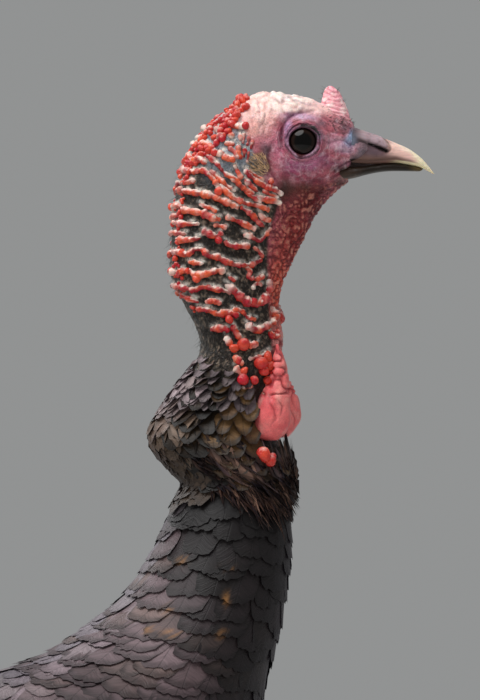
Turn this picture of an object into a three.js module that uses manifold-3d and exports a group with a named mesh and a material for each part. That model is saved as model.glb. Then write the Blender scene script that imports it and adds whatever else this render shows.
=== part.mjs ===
// A life-size wild turkey gobbler standing alert: neck raised, head in profile, wings folded, tail
// closed. Millimetres, +Z up. The bird faces +X and its left side is +Y. The soles lie at Z = 0.
//
// The body from bill base to tail root is one swept form. Each station gives the point on the back line,
// the point on the front line and the half width, so every cross-section is a flat ring between the two
// lines. The nodes are lengths of that form parted by thin gaps; wings, tail, legs and the fleshy
// growths are forms of their own, cut back by what they lie on.
import * as THREE from 'three';
import { mergeVertices } from 'three/addons/utils/BufferGeometryUtils.js';
import Module from 'manifold-3d';

const wasm = await Module();
wasm.setup();

// ---------------------------------------------------------------- driving sizes
const GAP = 0.3;               // clear space between touching nodes
const CUT = 0.03;              // half of a parting cut along the body, in stations
const SIDES_NECK = 20;         // facets round the head and neck
const SIDES_TRUNK = 24;        // facets round the trunk
const RIDGE = 1.6;             // height of the rows of caruncles on the bare neck
const RIDGE_ROWS = 11;         // rows of caruncles from the ear to the feathers

const EYE = { x: 347.7, y: 15.6, z: 911.2, radius: 9.0 };
const SNOOD = { base: [365.5, 922], tip: [362, 940.2], radius: 8.2, tipRadius: 2.8 };

const FOOT_SPREAD = 58;        // half the distance between the two feet
const STEP = 22;               // the right foot stands this far ahead of centre, the left behind
const STANCE_X = 82;           // middle of the two ankle-to-toe joints, fore and aft
const TOE_RADIUS = 6.4;
const TOE_HEIGHT = 5.2;        // axis of a toe above the ground, so that its sole is a flat
const CLAW = 15;
const SPUR = 19;

const TAIL = { root: [-92, 494], length: 345, slope: 21, rootHalf: 50, tipHalf: 66, arch: 10 };
const BEARD_LENGTH = 175;

const COLOURS = {
  skin: '#b5566a', crown: '#e8b9b4', caruncle: '#d2362a', plumage: '#2c2422', wing: '#3a302b',
  tail: '#4a2c1c', horn: '#cdb59a', eye: '#120b09', leg: '#b08a84', claw: '#4b3d38', bristle: '#171310',
};
const material = (colour, roughness = 0.7) =>
  new THREE.MeshStandardMaterial({ color: COLOURS[colour], roughness, metalness: 0 });

// ---------------------------------------------------------------- the body's stations
// [back x, back z, front x, front z, half width, shift of the widest point towards the back]
const STATIONS = [
  [376, 919, 372, 891.5, 10.5, 0.05],       // 0 bill base
  [367, 926.8, 368, 888.3, 13, 0.05],
  [357.8, 930.9, 364, 884.6, 16, 0.1],      // 2 forehead
  [342, 935, 358, 878.5, 19.5, 0.15],       // 3 eyes
  [326.6, 936.1, 352.6, 869.6, 22.5, 0.3],  // 4 crown and jaw
  [309.4, 928.3, 346.3, 857.1, 23.5, 0.45], // 5 ears
  [292.2, 911.2, 340.6, 845.6, 24, 0.45],
  [282.4, 885.2, 336.4, 835.2, 24, 0.4],    // 7 nape
  [279.2, 854, 335.4, 823.3, 23.5, 0.3],
  [279.8, 839.4, 335.9, 817, 23, 0.2],
  [292.8, 813.4, 335.9, 805.6, 21.5, 0.1],  // 10 end of the bare skin at the back
  [293, 799, 335.9, 797, 22, 0.05],
  [277.2, 777, 336.4, 776, 26, 0],          // 12 the ruff begins
  [268, 757, 338.5, 757, 30, 0],            // 13 fullest part of the ruff
  [279.8, 740.6, 341.6, 740.6, 29, 0],
  [285.5, 733.3, 342.2, 732.8, 28, 0],      // 15 notch under the ruff
  [278, 718, 342.7, 715, 30.5, 0],
  [266.2, 693.8, 341.1, 687, 36, 0],
  [248, 670.5, 336, 656, 45, 0],
  [215.3, 647, 327.1, 621, 63, 0],          // 19 root of the neck
  [190, 637, 326, 590, 82, 0],
  [172, 629, 334, 548, 96, 0],
  [155, 621, 341, 500, 107, 0.04],          // 22 fullest part of the breast
  [138, 614, 337, 450, 115, 0.06],
  [120, 606, 318, 402, 120, 0.08],
  [102, 598, 284, 362, 123, 0.1],
  [80, 589, 235, 332, 124, 0.12],           // 26 belly
  [50, 577, 180, 316, 123, 0.12],
  [15, 563, 122, 311, 119, 0.12],
  [-25, 547, 65, 318, 111, 0.12],
  [-62, 531, 10, 338, 98, 0.1],
  [-92, 516, -38, 368, 79, 0.08],
  [-113, 503, -80, 405, 58, 0.05],
  [-126, 492, -112, 440, 38, 0],            // 33 vent
];
const AT = { bill: 0, ear: 5.4, bareEnd: 11, notch: 15, neckRoot: 19, end: STATIONS.length - 1 };

// A smooth curve through a table's rows.
const throughRows = (rows, read) => new THREE.CatmullRomCurve3(
  rows.map((row) => new THREE.Vector3(...read(row))), false, 'catmullrom', 0.5);
const throughStations = (read) => throughRows(STATIONS, read);
const backLine = throughStations(([x, z]) => [x, 0, z]);
const frontLine = throughStations(([, , x, z]) => [x, 0, z]);
const widths = throughStations(([, , , , half, shift]) => [half, shift, 0]);

// One ring: a squashed circle between the two lines. angle 0 is the back and PI the front.
function bodyRing(station, sides, grow = 0, ridge = 0) {
  const share = Math.min(station / AT.end, 1);
  const [back, front, wide] = [backLine, frontLine, widths].map((c) => c.getPoint(share));
  const centre = back.clone().add(front).multiplyScalar(0.5);
  const up = back.clone().sub(front);
  const height = up.length() / 2 + grow;
  up.normalize();
  const ring = [];
  for (let i = 0; i < sides; i++) {
    const angle = (2 * Math.PI * i) / sides;
    const raised = ridge * Math.max(0, 0.35 + 0.65 * Math.cos(angle));
    const out = (wide.x + grow + raised) * Math.sin(angle) * (1 + wide.y * Math.cos(angle));
    const along = (height + raised) * Math.cos(angle);
    ring.push(new THREE.Vector3(centre.x + up.x * along, out, centre.z + up.z * along));
  }
  return ring;
}

// ---------------------------------------------------------------- general shapes
// A closed surface through rings of equal count, each end closed on its own centre.
const middleOf = (ring) => ring.reduce((s, p) => s.add(p), new THREE.Vector3()).divideScalar(ring.length);
function loft(rings) {
  const count = rings[0].length;
  const points = [...rings.flat(), middleOf(rings[0]), middleOf(rings.at(-1))];
  const faces = [];
  for (let r = 0; r + 1 < rings.length; r++) {
    for (let i = 0; i < count; i++) {
      const [a, b] = [r * count + i, r * count + ((i + 1) % count)];
      faces.push(a, b, a + count, b, b + count, a + count);
    }
  }
  const [start, end] = [points.length - 2, points.length - 1];
  for (let i = 0; i < count; i++) {
    const [next, last] = [(i + 1) % count, (rings.length - 1) * count];
    faces.push(start, next, i, end, last + i, last + next);
  }
  const geometry = new THREE.BufferGeometry();
  geometry.setAttribute('position', new THREE.Float32BufferAttribute(points.flatMap((p) => p.toArray()), 3));
  geometry.setIndex(faces);
  return facingOut(geometry);
}

// Turns the faces round where the volume comes out negative.
function facingOut(geometry) {
  const [p, index] = [geometry.getAttribute('position'), geometry.getIndex()];
  const corner = (i) => new THREE.Vector3().fromBufferAttribute(p, index.getX(i));
  let volume = 0;
  for (let i = 0; i < index.count; i += 3) volume += corner(i).dot(corner(i + 1).cross(corner(i + 2)));
  if (volume < 0) index.array.reverse();
  return geometry;
}

// An ellipse of given half axes round a centre, in the plane of two directions.
function oval(centre, first, firstHalf, second, secondHalf, sides) {
  return Array.from({ length: sides }, (_, i) => {
    const angle = (2 * Math.PI * i) / sides;
    return centre.clone().addScaledVector(first, firstHalf * Math.cos(angle))
      .addScaledVector(second, secondHalf * Math.sin(angle));
  });
}

// A limb: ovals square to a smooth path. Each stop is [x, y, z, half depth, half width].
function limb(stops, sides, steps, across = new THREE.Vector3(0, 1, 0)) {
  const path = throughRows(stops, (stop) => stop.slice(0, 3));
  const size = throughRows(stops, ([, , , depth, width]) => [depth, width, 0]);
  const rings = [];
  for (let i = 0; i <= steps; i++) {
    const t = i / steps;
    const ahead = path.getPoint(Math.min(t + 0.01, 1)).sub(path.getPoint(Math.max(t - 0.01, 0))).normalize();
    const side = across.clone().addScaledVector(ahead, -across.dot(ahead)).normalize();
    const { x: depth, y: width } = size.getPoint(t);
    rings.push(oval(path.getPoint(t), ahead.clone().cross(side), depth, side, width, sides));
  }
  return loft(rings);
}

// ---------------------------------------------------------------- cutting and joining
function solid(geometry) {
  const bare = geometry.clone();
  bare.deleteAttribute('normal');
  bare.deleteAttribute('uv');
  const merged = mergeVertices(bare, 1e-3);
  return new wasm.Manifold(new wasm.Mesh({
    numProp: 3,
    vertProperties: merged.getAttribute('position').array,
    triVerts: new Uint32Array(merged.getIndex().array),
  }));
}

function geometryOf(manifold) {
  const mesh = manifold.getMesh();
  const geometry = new THREE.BufferGeometry();
  geometry.setAttribute('position', new THREE.BufferAttribute(mesh.vertProperties, mesh.numProp));
  geometry.setIndex(new THREE.BufferAttribute(mesh.triVerts, 1));
  return geometry;
}

// What is left of a shape once its neighbours, already grown by the gap, are taken away.
function cutBy(shape, ...neighbours) {
  const left = neighbours.reduce((s, n) => s.subtract(n), shape);
  return left.decompose().sort((a, b) => b.volume() - a.volume())[0];
}
const joined = (...shapes) => shapes.reduce((a, b) => a.add(b));
const slab = (x, y, z, from) => solid(new THREE.BoxGeometry(x, y, z).translate(0, 0, from + z / 2));
const BELOW_GROUND = slab(1600, 600, 60, -60);

const bird = new THREE.Group();
function addNode(name, shape, colour, roughness) {
  const geometry = shape instanceof THREE.BufferGeometry ? shape : geometryOf(shape);
  const mesh = new THREE.Mesh(geometry, material(colour, roughness));
  mesh.name = name;
  bird.add(mesh);
  return mesh;
}

// ---------------------------------------------------------------- head, neck and trunk
// A length of the body. A grown one keeps the same rings, and so lies clear of it all over, ends included.
function bodyLength([from, to, steps, sides], grow = 0) {
  const rings = [];
  for (let i = 0; i <= steps; i++) rings.push(bodyRing(from + ((to - from) * i) / steps, sides, grow));
  if (grow) {
    const shifted = (ring, beside) => {
      const away = middleOf(ring).sub(middleOf(beside)).setLength(3 * grow);
      return ring.map((p) => p.clone().add(away));
    };
    rings.unshift(shifted(rings[0], rings[1]));
    rings.push(shifted(rings.at(-1), rings.at(-2)));
  }
  return loft(rings);
}
const HEAD = [AT.bill + CUT, AT.ear - CUT, 10, SIDES_NECK];
const RUFF = [AT.bareEnd + CUT, AT.notch - CUT, 9, SIDES_NECK];
const LOWER_NECK = [AT.notch + CUT, AT.neckRoot - CUT, 8, SIDES_NECK];
const TRUNK = [AT.neckRoot + CUT, AT.end, 18, SIDES_TRUNK];

// The bare neck with its rows of caruncles: every second ring stands out by a ridge.
function ridgedNeck(from, to) {
  const rings = [];
  for (let i = 0; i <= 2 * RIDGE_ROWS; i++) {
    rings.push(bodyRing(from + ((to - from) * i) / (2 * RIDGE_ROWS), SIDES_NECK, 0, i % 2 ? RIDGE : 0));
  }
  return loft(rings);
}

function eyeBall(side, radius) {
  return solid(new THREE.SphereGeometry(radius, 12, 7).translate(EYE.x, side * EYE.y, EYE.z));
}

const trunkGrown = solid(bodyLength(TRUNK, 1.4 * GAP));
const headGrown = solid(bodyLength(HEAD, 1.4 * GAP));
const ruffGrown = solid(bodyLength(RUFF, 1.4 * GAP));
const bareNeckGrown = solid(bodyLength([AT.ear, AT.bareEnd, 2 * RIDGE_ROWS, SIDES_NECK], RIDGE + GAP));

const sockets = [1, -1].map((side) => eyeBall(side, EYE.radius + GAP));
addNode('head', cutBy(solid(bodyLength(HEAD)), ...sockets), 'skin');
addNode('neck_upper', ridgedNeck(AT.ear + CUT, AT.bareEnd - CUT), 'caruncle');
addNode('neck_ruff', bodyLength(RUFF), 'plumage');
addNode('neck_lower', bodyLength(LOWER_NECK), 'plumage');
addNode('trunk', bodyLength(TRUNK), 'plumage');
addNode('eye_left', eyeBall(1, EYE.radius), 'eye', 0.1);
addNode('eye_right', eyeBall(-1, EYE.radius), 'eye', 0.1);

// ---------------------------------------------------------------- bill
// Each half is a run of ovals between two edge lines: [x, upper z, lower z, half width].
const BILL_UPPER = [
  [376.4, 917.5, 898.6, 9.6], [383.2, 915.3, 898.6, 8.6], [389.5, 913.2, 899.1, 7.6],
  [396.2, 910.6, 899.9, 6.4], [403, 907.5, 899.1, 5.2], [408.7, 903.4, 897.9, 3.9],
  [412.9, 898.9, 896, 2.4], [416.3, 894.6, 893.9, 0.5],
];
const BILL_LOWER = [
  [374.6, 897.9, 892.4, 8.6], [380, 897.9, 893.9, 7.6], [386, 898.3, 895.4, 6.6], [392.1, 898.9, 896.1, 5.6],
  [399.4, 898.6, 896.1, 4.6], [405.6, 897.7, 896.1, 3.3], [409.6, 896.6, 896.1, 1.2],
];
function billHalf(stops, sides = 10) {
  const forward = new THREE.Vector3(0, 0, 1);
  return solid(loft(stops.map(([x, top, bottom, half]) => oval(
    new THREE.Vector3(x, 0, (top + bottom) / 2), forward, (top - bottom) / 2,
    new THREE.Vector3(0, 1, 0), half, sides))));
}
addNode('bill_upper', cutBy(billHalf(BILL_UPPER), headGrown), 'horn', 0.4);
addNode('bill_lower', cutBy(billHalf(BILL_LOWER), headGrown,
  billHalf(BILL_UPPER.map(([x, top, bottom, half]) => [x, top, bottom - GAP, half + GAP]))), 'horn', 0.4);

// ---------------------------------------------------------------- snood and throat lobes
function snood() {
  const [[x0, z0], [x1, z1]] = [SNOOD.base, SNOOD.tip];
  const stops = [0, 0.45, 0.8, 1].map((t) => {
    const radius = SNOOD.radius + (SNOOD.tipRadius - SNOOD.radius) * t ** 1.3;
    return [x0 + (x1 - x0) * t, 0, z0 + (z1 - z0) * t, radius, radius * 0.85];
  });
  return solid(limb(stops, 10, 4));
}
addNode('snood', cutBy(snood(), headGrown), 'skin');

// A hanging fleshy lobe: ovals that swell downwards and close in a blunt end.
function throatLobe(side, ahead, drop) {
  const y = side * 11;
  return solid(limb([
    [333 + ahead, y, 803, 4, 5], [334 + ahead, y, 790, 7, 8], [331 + ahead, y, 774, 9.5, 9.5],
    [329 + ahead, y, 763 - drop, 9, 9], [328.5 + ahead, y, 757 - drop, 3.5, 4],
  ], 12, 7));
}
const lobeRight = cutBy(throatLobe(-1, 2.5, 0), bareNeckGrown, ruffGrown);
addNode('lobe_right', lobeRight, 'skin');
addNode('lobe_left', cutBy(throatLobe(1, 8.5, -3), bareNeckGrown, ruffGrown,
  lobeRight.translate([0, GAP, 0])), 'skin');

// ---------------------------------------------------------------- wings
// The folded wing lies on the trunk: [x, z of the middle, half height, y of the middle, half thickness].
const WING = [
  [262, 512, 14, 88, 10], [236, 507, 44, 98, 20], [190, 493, 66, 108, 24], [130, 474, 80, 115, 24],
  [70, 456, 84, 115, 23], [10, 440, 80, 108, 22], [-50, 425, 68, 93, 21], [-105, 412, 50, 70, 17],
  [-150, 402, 30, 53, 11], [-190, 392, 9, 44, 5],
];
function foldedWing(side, grow = 0) {
  const lean = new THREE.Vector3(-0.2, 0, 0.98);
  const rings = throughRows(WING, ([x, z, , y]) => [x, side * y, z]);
  const sizes = throughRows(WING, ([, , high, , thick]) => [high, thick, 0]);
  const inward = new THREE.Vector3(0.1, side * 0.94, -0.3).normalize();
  const steps = 11;
  return solid(loft(Array.from({ length: steps + 1 }, (_, i) => {
    const [centre, size] = [rings.getPoint(i / steps), sizes.getPoint(i / steps)];
    return oval(centre, lean, size.x + grow, inward, size.y + grow, 14);
  })));
}
for (const [name, side] of [['wing_left', 1], ['wing_right', -1]]) {
  addNode(name, cutBy(foldedWing(side), trunkGrown), 'wing');
}

// ---------------------------------------------------------------- tail
// Closed tail: flat ovals along a straight slope, widening to the rounded end, arched like a low roof.
function closedTail() {
  const slope = THREE.MathUtils.degToRad(TAIL.slope);
  const back = new THREE.Vector3(-Math.cos(slope), 0, -Math.sin(slope));
  const up = new THREE.Vector3(-Math.sin(slope), 0, Math.cos(slope));
  const across = new THREE.Vector3(0, 1, 0);
  const root = new THREE.Vector3(TAIL.root[0], 0, TAIL.root[1]);
  const stops = [0, 0.1, 0.22, 0.36, 0.52, 0.7, 0.86, 0.94, 0.98, 1];
  return solid(loft(stops.map((t) => {
    const open = t > 0.86 ? Math.sqrt(Math.max(0.04, 1 - ((t - 0.86) / 0.143) ** 2)) : 1;
    const half = (TAIL.rootHalf + (TAIL.tipHalf - TAIL.rootHalf) * t ** 0.8) * open;
    const above = 4 + 13 * (1 - t) ** 1.6;
    const below = 4 + 34 * (1 - t) ** 2;
    const middle = root.clone().addScaledVector(back, TAIL.length * t)
      .addScaledVector(up, (above - below) / 2);
    return oval(middle, up, (above + below) / 2, across, half, 18)
      .map((p) => p.addScaledVector(up, -TAIL.arch * (p.y / TAIL.tipHalf) ** 2));
  })));
}
addNode('tail', cutBy(closedTail(), trunkGrown), 'tail');

// ---------------------------------------------------------------- beard
addNode('beard', cutBy(solid(limb([
  [330, 0, 532, 7, 8], [342, 0, 522, 7, 8], [350, 0, 495, 7.5, 9], [350, 0, 450, 7.5, 9],
  [345, 0, 400, 6.5, 8], [341, 0, 532 - BEARD_LENGTH, 2, 4],
], 10, 9)), trunkGrown), 'bristle', 0.6);

// ---------------------------------------------------------------- legs
// Each toe is [turn from straight ahead, in degrees towards the midline, length, thickness at its tip].
const TOES = { middle: [4, 84, 4.6], inner: [36, 62, 4.4], outer: [-30, 66, 4.2], hind: [168, 34, 3.8] };

function toeEnd(foot, side, turn, length) {
  const angle = THREE.MathUtils.degToRad(turn);
  return new THREE.Vector3(foot.x + length * Math.cos(angle), foot.y - side * length * Math.sin(angle), 0);
}

// A toe with a swelling at each joint pad, lying on the ground.
function toe(foot, side, [turn, length, tip], rootHeight) {
  const stops = [0, 0.25, 0.5, 0.75, 1].map((t) => {
    const at = toeEnd(foot, side, turn, length * t);
    const radius = (TOE_RADIUS + (tip - TOE_RADIUS) * t) * (1 + 0.08 * Math.cos(4 * Math.PI * t));
    const height = TOE_HEIGHT + (rootHeight - TOE_HEIGHT) * (1 - t) ** 2 - 1.3 * t;
    return [at.x, at.y, height, radius, radius];
  });
  return solid(limb(stops, 8, 5, new THREE.Vector3(0, 0, 1)));
}

// A claw: a cone bending down to the ground from the toe's end.
function claw(foot, side, [turn, length, tip]) {
  const stops = [-0.25, 0.35, 0.75, 1].map((t) => {
    const at = toeEnd(foot, side, turn, length + CLAW * t);
    const radius = Math.max(0.5, tip * 0.8 * (1 - Math.max(t, 0)) ** 0.8);
    return [at.x, at.y, 4.4 - 2.6 * Math.max(t, 0) ** 2, radius, radius * 0.8];
  });
  return solid(limb(stops, 6, 3, new THREE.Vector3(0, 0, 1)));
}

function leg(name, side, step) {
  const y = side * FOOT_SPREAD;
  const foot = new THREE.Vector3(STANCE_X + step, y, 0);
  const ankle = { x: foot.x - 34 - step * 0.3, z: 187 };
  const thigh = solid(limb([
    [104 + step * 0.2, side * 62, 385, 66, 46], [86 + step * 0.4, side * 61, 322, 57, 40],
    [ankle.x + 20, side * 59.5, 262, 37, 29], [ankle.x + 5, y, 216, 19, 16],
    [ankle.x + 0.5, y, 193, 12, 10.5],
  ], 14, 8));
  const along = (t) => ankle.x + (foot.x - ankle.x) * t;
  const shank = solid(limb([
    [along(0), y, ankle.z + 5, 10.5, 8.5], [along(0.03), y, ankle.z - 5, 12, 9],
    [along(0.14), y, 160, 8.6, 6.8], [along(0.48), y, 95, 7.4, 6.2],
    [along(0.79), y, 42, 8.2, 7.2], [along(0.96), y, 19, 9, 8.6],
  ], 10, 9));
  const pad = solid(limb([
    [foot.x - 4, y, 16, 8.6, 8.6], [foot.x, y, 9, 11, 11], [foot.x + 1, y, -2, 8.5, 9],
  ], 8, 3));
  const spur = solid(limb([
    [along(0.68), y - side * 4, 62, 5.5, 5.5], [along(0.68) - SPUR * 0.7, y - side * 9, 61, 3, 3],
    [along(0.68) - SPUR * 1.25, y - side * 12, 65, 0.6, 0.6],
  ], 8, 4));
  const sole = cutBy(joined(pad, ...Object.entries(TOES).map(([which, sizes]) =>
    toe(foot, side, sizes, which === 'hind' ? 13 : 9))), BELOW_GROUND);

  const grown = (s, by = GAP) => s.scale([1 + by / 10, 1 + by / 10, 1]);
  const about = (s, x, yy, by) => grown(s.translate([-x, -yy, 0]), by).translate([x, yy, 0]);
  const thighCut = cutBy(thigh, trunkGrown, foldedWing(side, GAP));
  addNode('thigh_' + name, thighCut, 'plumage');
  const shankCut = cutBy(shank, about(thigh, ankle.x, y, GAP).translate([0, 0, -GAP]),
    about(sole, foot.x, y, GAP).translate([0, 0, GAP]));
  addNode('shank_' + name, shankCut, 'leg');
  addNode('foot_' + name, sole, 'leg');
  addNode('spur_' + name, cutBy(spur, about(shank, along(0.68), y, 2 * GAP)), 'claw', 0.4);
  for (const [which, sizes] of Object.entries(TOES)) {
    const piece = cutBy(claw(foot, side, sizes), joined(sole, sole.translate([0, 0, GAP]),
      about(sole, foot.x, y, 0.06)), BELOW_GROUND);
    addNode(`claw_${which}_${name}`, piece, 'claw', 0.4);
  }
}
leg('right', -1, STEP);
leg('left', 1, -STEP);

// The origin is on the ground under the middle of the whole bird.
const box = new THREE.Box3().setFromObject(bird);
bird.position.x = -(box.min.x + box.max.x) / 2;
bird.position.y = -(box.min.y + box.max.y) / 2;

export default bird;
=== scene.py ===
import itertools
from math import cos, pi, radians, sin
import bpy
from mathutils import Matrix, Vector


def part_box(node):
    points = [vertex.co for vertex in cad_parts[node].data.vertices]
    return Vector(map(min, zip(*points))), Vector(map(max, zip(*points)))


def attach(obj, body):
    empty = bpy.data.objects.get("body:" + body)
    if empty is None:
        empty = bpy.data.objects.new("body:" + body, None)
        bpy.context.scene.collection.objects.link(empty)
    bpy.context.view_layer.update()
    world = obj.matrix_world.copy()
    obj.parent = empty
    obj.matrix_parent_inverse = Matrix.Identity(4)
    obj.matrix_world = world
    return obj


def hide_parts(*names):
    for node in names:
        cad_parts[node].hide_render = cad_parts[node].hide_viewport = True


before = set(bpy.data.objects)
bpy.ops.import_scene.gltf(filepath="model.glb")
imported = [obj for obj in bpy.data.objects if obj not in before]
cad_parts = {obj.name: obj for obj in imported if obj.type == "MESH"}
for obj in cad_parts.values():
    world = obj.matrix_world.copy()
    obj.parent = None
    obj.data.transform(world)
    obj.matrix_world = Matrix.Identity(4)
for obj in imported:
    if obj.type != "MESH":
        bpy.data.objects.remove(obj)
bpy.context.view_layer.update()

# A life-size wild turkey gobbler: bare head and neck with its caruncles, and the plumage as mesh vanes.
# Lengths are in millimetres of the part's own drawing, +X ahead, +Y left, +Z up, until place() turns them
# into metres of the frame. "station" counts the body's rings from the bill base (0) to the vent (33), and
# "angle" goes round a ring in radians, 0 at the back and pi at the front.
from types import SimpleNamespace

import bmesh
import bpy
from mathutils import Vector
import numpy as np

# ---- driving sizes
EYE = np.array([347.7, 15.6, 911.2])       # centre of the left eye
EYE_RADIUS = 8.9
EYE_OPENING = 6.9                          # half width of the open lids
SNOOD_BASE, SNOOD_TIP = (365.5, 922.0), (362.0, 940.2)
FOOT_SPREAD, STEP, STANCE_X = 58.0, 22.0, 82.0
CLAW, SPUR = 15.0, 19.0
TAIL_ROOT, TAIL_LENGTH, TAIL_SLOPE = np.array([-92.0, 0.0, 494.0]), 345.0, radians(21)
TAIL_ROOT_HALF, TAIL_TIP_HALF, TAIL_ARCH = 50.0, 66.0, 10.0
BEARD_LENGTH = 175.0
GRID, GRID_LEFT, GRID_TOP = 0.52, 366.0, 985.0   # the profile's drawing grid, and where it starts

# [back x, back z, front x, front z, half width, shift of the widest point towards the back]
STATIONS = np.array([[376, 919, 372, 891.5, 10.5, 0.05], [367, 926.8, 368, 888.3, 13, 0.05],
    [357.8, 930.9, 364, 884.6, 16, 0.1], [342, 935, 358, 878.5, 19.5, 0.15],
    [326.6, 936.1, 352.6, 869.6, 22.5, 0.3], [309.4, 928.3, 346.3, 857.1, 23.5, 0.45],
    [292.2, 911.2, 340.6, 845.6, 24, 0.45], [282.4, 885.2, 336.4, 835.2, 24, 0.4],
    [279.2, 854, 335.4, 823.3, 23.5, 0.3], [279.8, 839.4, 335.9, 817, 23, 0.2],
    [292.8, 813.4, 335.9, 805.6, 21.5, 0.1], [293, 799, 335.9, 797, 22, 0.05],
    [277.2, 777, 336.4, 776, 26, 0], [268, 757, 338.5, 757, 30, 0], [279.8, 740.6, 341.6, 740.6, 29, 0],
    [285.5, 733.3, 342.2, 732.8, 28, 0], [278, 718, 342.7, 715, 30.5, 0], [266.2, 693.8, 341.1, 687, 36, 0],
    [248, 670.5, 336, 656, 45, 0], [215.3, 647, 327.1, 621, 63, 0], [190, 637, 326, 590, 82, 0],
    [172, 629, 334, 548, 96, 0], [155, 621, 341, 500, 107, 0.04], [138, 614, 337, 450, 115, 0.06],
    [120, 606, 318, 402, 120, 0.08], [102, 598, 284, 362, 123, 0.1], [80, 589, 235, 332, 124, 0.12],
    [50, 577, 180, 316, 123, 0.12], [15, 563, 122, 311, 119, 0.12], [-25, 547, 65, 318, 111, 0.12],
    [-62, 531, 10, 338, 98, 0.1], [-92, 516, -38, 368, 79, 0.08], [-113, 503, -80, 405, 58, 0.05],
    [-126, 492, -112, 440, 38, 0], [-142, 484, -140, 452, 24, 0]], float)
VENT = 33.0
BARE_END = 11.2                            # the station where the bare neck meets the feathers

# [x, z of the middle, half height, y of the middle, half thickness] along the folded wing
WING = np.array([[262, 512, 14, 88, 10], [236, 507, 44, 98, 20], [190, 493, 66, 108, 24],
    [130, 474, 80, 115, 24], [70, 456, 84, 115, 23], [10, 440, 80, 108, 22], [-50, 425, 68, 93, 21],
    [-105, 412, 50, 70, 17], [-150, 402, 30, 53, 11], [-190, 392, 9, 44, 5]], float)
# [x, upper z, lower z, half width] along each half of the bill
BILL_UPPER = np.array([[369.5, 919.5, 898.6, 10.2], [376.4, 917.5, 898.6, 9.6], [383.2, 915.3, 898.6, 8.6],
    [389.5, 913.2, 899.1, 7.6], [396.2, 910.6, 899.9, 6.4], [403, 907.5, 899.1, 5.2],
    [408.7, 903.4, 897.9, 3.9], [412.9, 898.9, 896, 2.4], [416.3, 894.6, 893.9, 0.4]], float)
BILL_LOWER = np.array([[367, 899.4, 890.9, 8.9], [374.6, 899.3, 892.4, 8.3], [380, 899.5, 893.9, 7.2],
    [386, 899.9, 895.2, 6.2], [392.1, 900.7, 895.9, 5.2], [399.4, 900.0, 896.0, 4.2],
    [405.6, 898.8, 895.9, 2.9], [410.2, 897.4, 895.9, 1.1]], float)

eye_low, eye_high = (np.array(corner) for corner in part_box("eye_left"))
SHIFT = (eye_low + eye_high) / 2 - EYE / 1000
rng = np.random.default_rng(11)


def place(points):
    """Millimetres of the drawing to metres of the frame."""
    return np.asarray(points) / 1000 + SHIFT


def at(column, row):
    """(x, z) in mm of a place on the profile's drawing grid."""
    return np.stack([(np.asarray(column) + GRID_LEFT) * GRID, GRID_TOP - GRID * np.asarray(row)], -1)


# ---- arithmetic on whole arrays
def smooth(low, high, x):
    """0 below low, 1 above high, and 3t^2 - 2t^3 between them."""
    t = np.clip((x - low) / (high - low), 0, 1)
    return t * t * (3 - 2 * t)


def catmull_rom(rows, where):
    """The smooth curve through a table's rows, read at row numbers that needn't be whole. Each stretch is
    the cubic whose slope at a row is half the step from the row before to the row after."""
    ends = np.vstack([2 * rows[0] - rows[1], rows, 2 * rows[-1] - rows[-2]])
    where = np.clip(where, 0, len(rows) - 1)
    first = np.minimum(where.astype(int), len(rows) - 2)
    t = (where - first)[..., None]
    a, b, c, d = (ends[first + k] for k in range(4))
    return b + ((c - a) * t + (2 * a - 5 * b + 4 * c - d) * t**2 + (3 * b - 3 * c + d - a) * t**3) / 2


def cloud(points, size, seed=0):
    """Noise of three sizes, each half as large and half as strong as the one before it, from about -1 to
    1."""
    return (noise(points, size, seed) + noise(points, size / 2, seed + 1) / 2
        + noise(points, size / 4, seed + 2) / 4) * 0.8


def bell(x):
    """1 at 0 and falling on both sides, exp(-x^2)."""
    return np.exp(-x**2)


def size_of(v):
    """The length of each vector."""
    return np.linalg.norm(v, axis=-1)


def run_along(line):
    """How far along a line each of its points lies."""
    return np.concatenate([[0], np.cumsum(size_of(np.diff(line, axis=0)))])


def unit(v):
    """Vectors drawn out or in to a length of 1."""
    return v / np.maximum(np.linalg.norm(v, axis=-1, keepdims=True), 1e-9)


SHUFFLED = np.random.default_rng(5).permutation(1024)
LATTICE = np.random.default_rng(6).uniform(-1, 1, 1024)


def noise(points, size, seed=0):
    """Value noise from -1 to 1: random values on a cubic lattice of that size in mm, joined by
    smoothsteps."""
    p = np.asarray(points) / size
    low = np.floor(p).astype(np.int64)
    f = p - low
    f = f * f * (3 - 2 * f)
    total = np.zeros(p.shape[:-1])
    for corner in itertools.product((0, 1), repeat=3):
        cell = low + corner
        key = SHUFFLED[(cell[..., 0] + 37 * seed) & 1023]
        key = SHUFFLED[(cell[..., 1] + key) & 1023]
        key = SHUFFLED[(cell[..., 2] + key) & 1023]
        total += LATTICE[key] * np.prod(np.where(corner, f, 1 - f), -1)
    return total


def distance_to_line(points, line):
    """Distance in mm from (x, z) points to a line of straight stretches, and how far along it, 0 to 1."""
    line = np.asarray(line, float)
    nearest = np.full(points.shape[:-1], 1e9)
    along = np.zeros(points.shape[:-1])
    count = len(line) - 1
    for k, (a, b) in enumerate(zip(line[:-1], line[1:])):
        t = np.clip(((points - a) @ (b - a)) / max((b - a) @ (b - a), 1e-9), 0, 1)
        d = size_of(points - a - t[..., None] * (b - a))
        along = np.where(d < nearest, (k + t) / count, along)
        nearest = np.minimum(d, nearest)
    return nearest, along


def ring_grid(t, count):
    """Grids of t from ring to ring of a tube, and of the angle round each ring in count steps."""
    return np.meshgrid(t, np.arange(count) * 2 * pi / count, indexing="ij")


def grid_normals(points, around):
    """Unit normals of a grid of points by central differences, wrapping over its columns if it goes
    around."""
    down = np.gradient(points, axis=0)
    if around:
        right = (np.roll(points, -1, 1) - np.roll(points, 1, 1)) / 2
    else:
        right = np.gradient(points, axis=1)
    return unit(np.cross(right, down))


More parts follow.
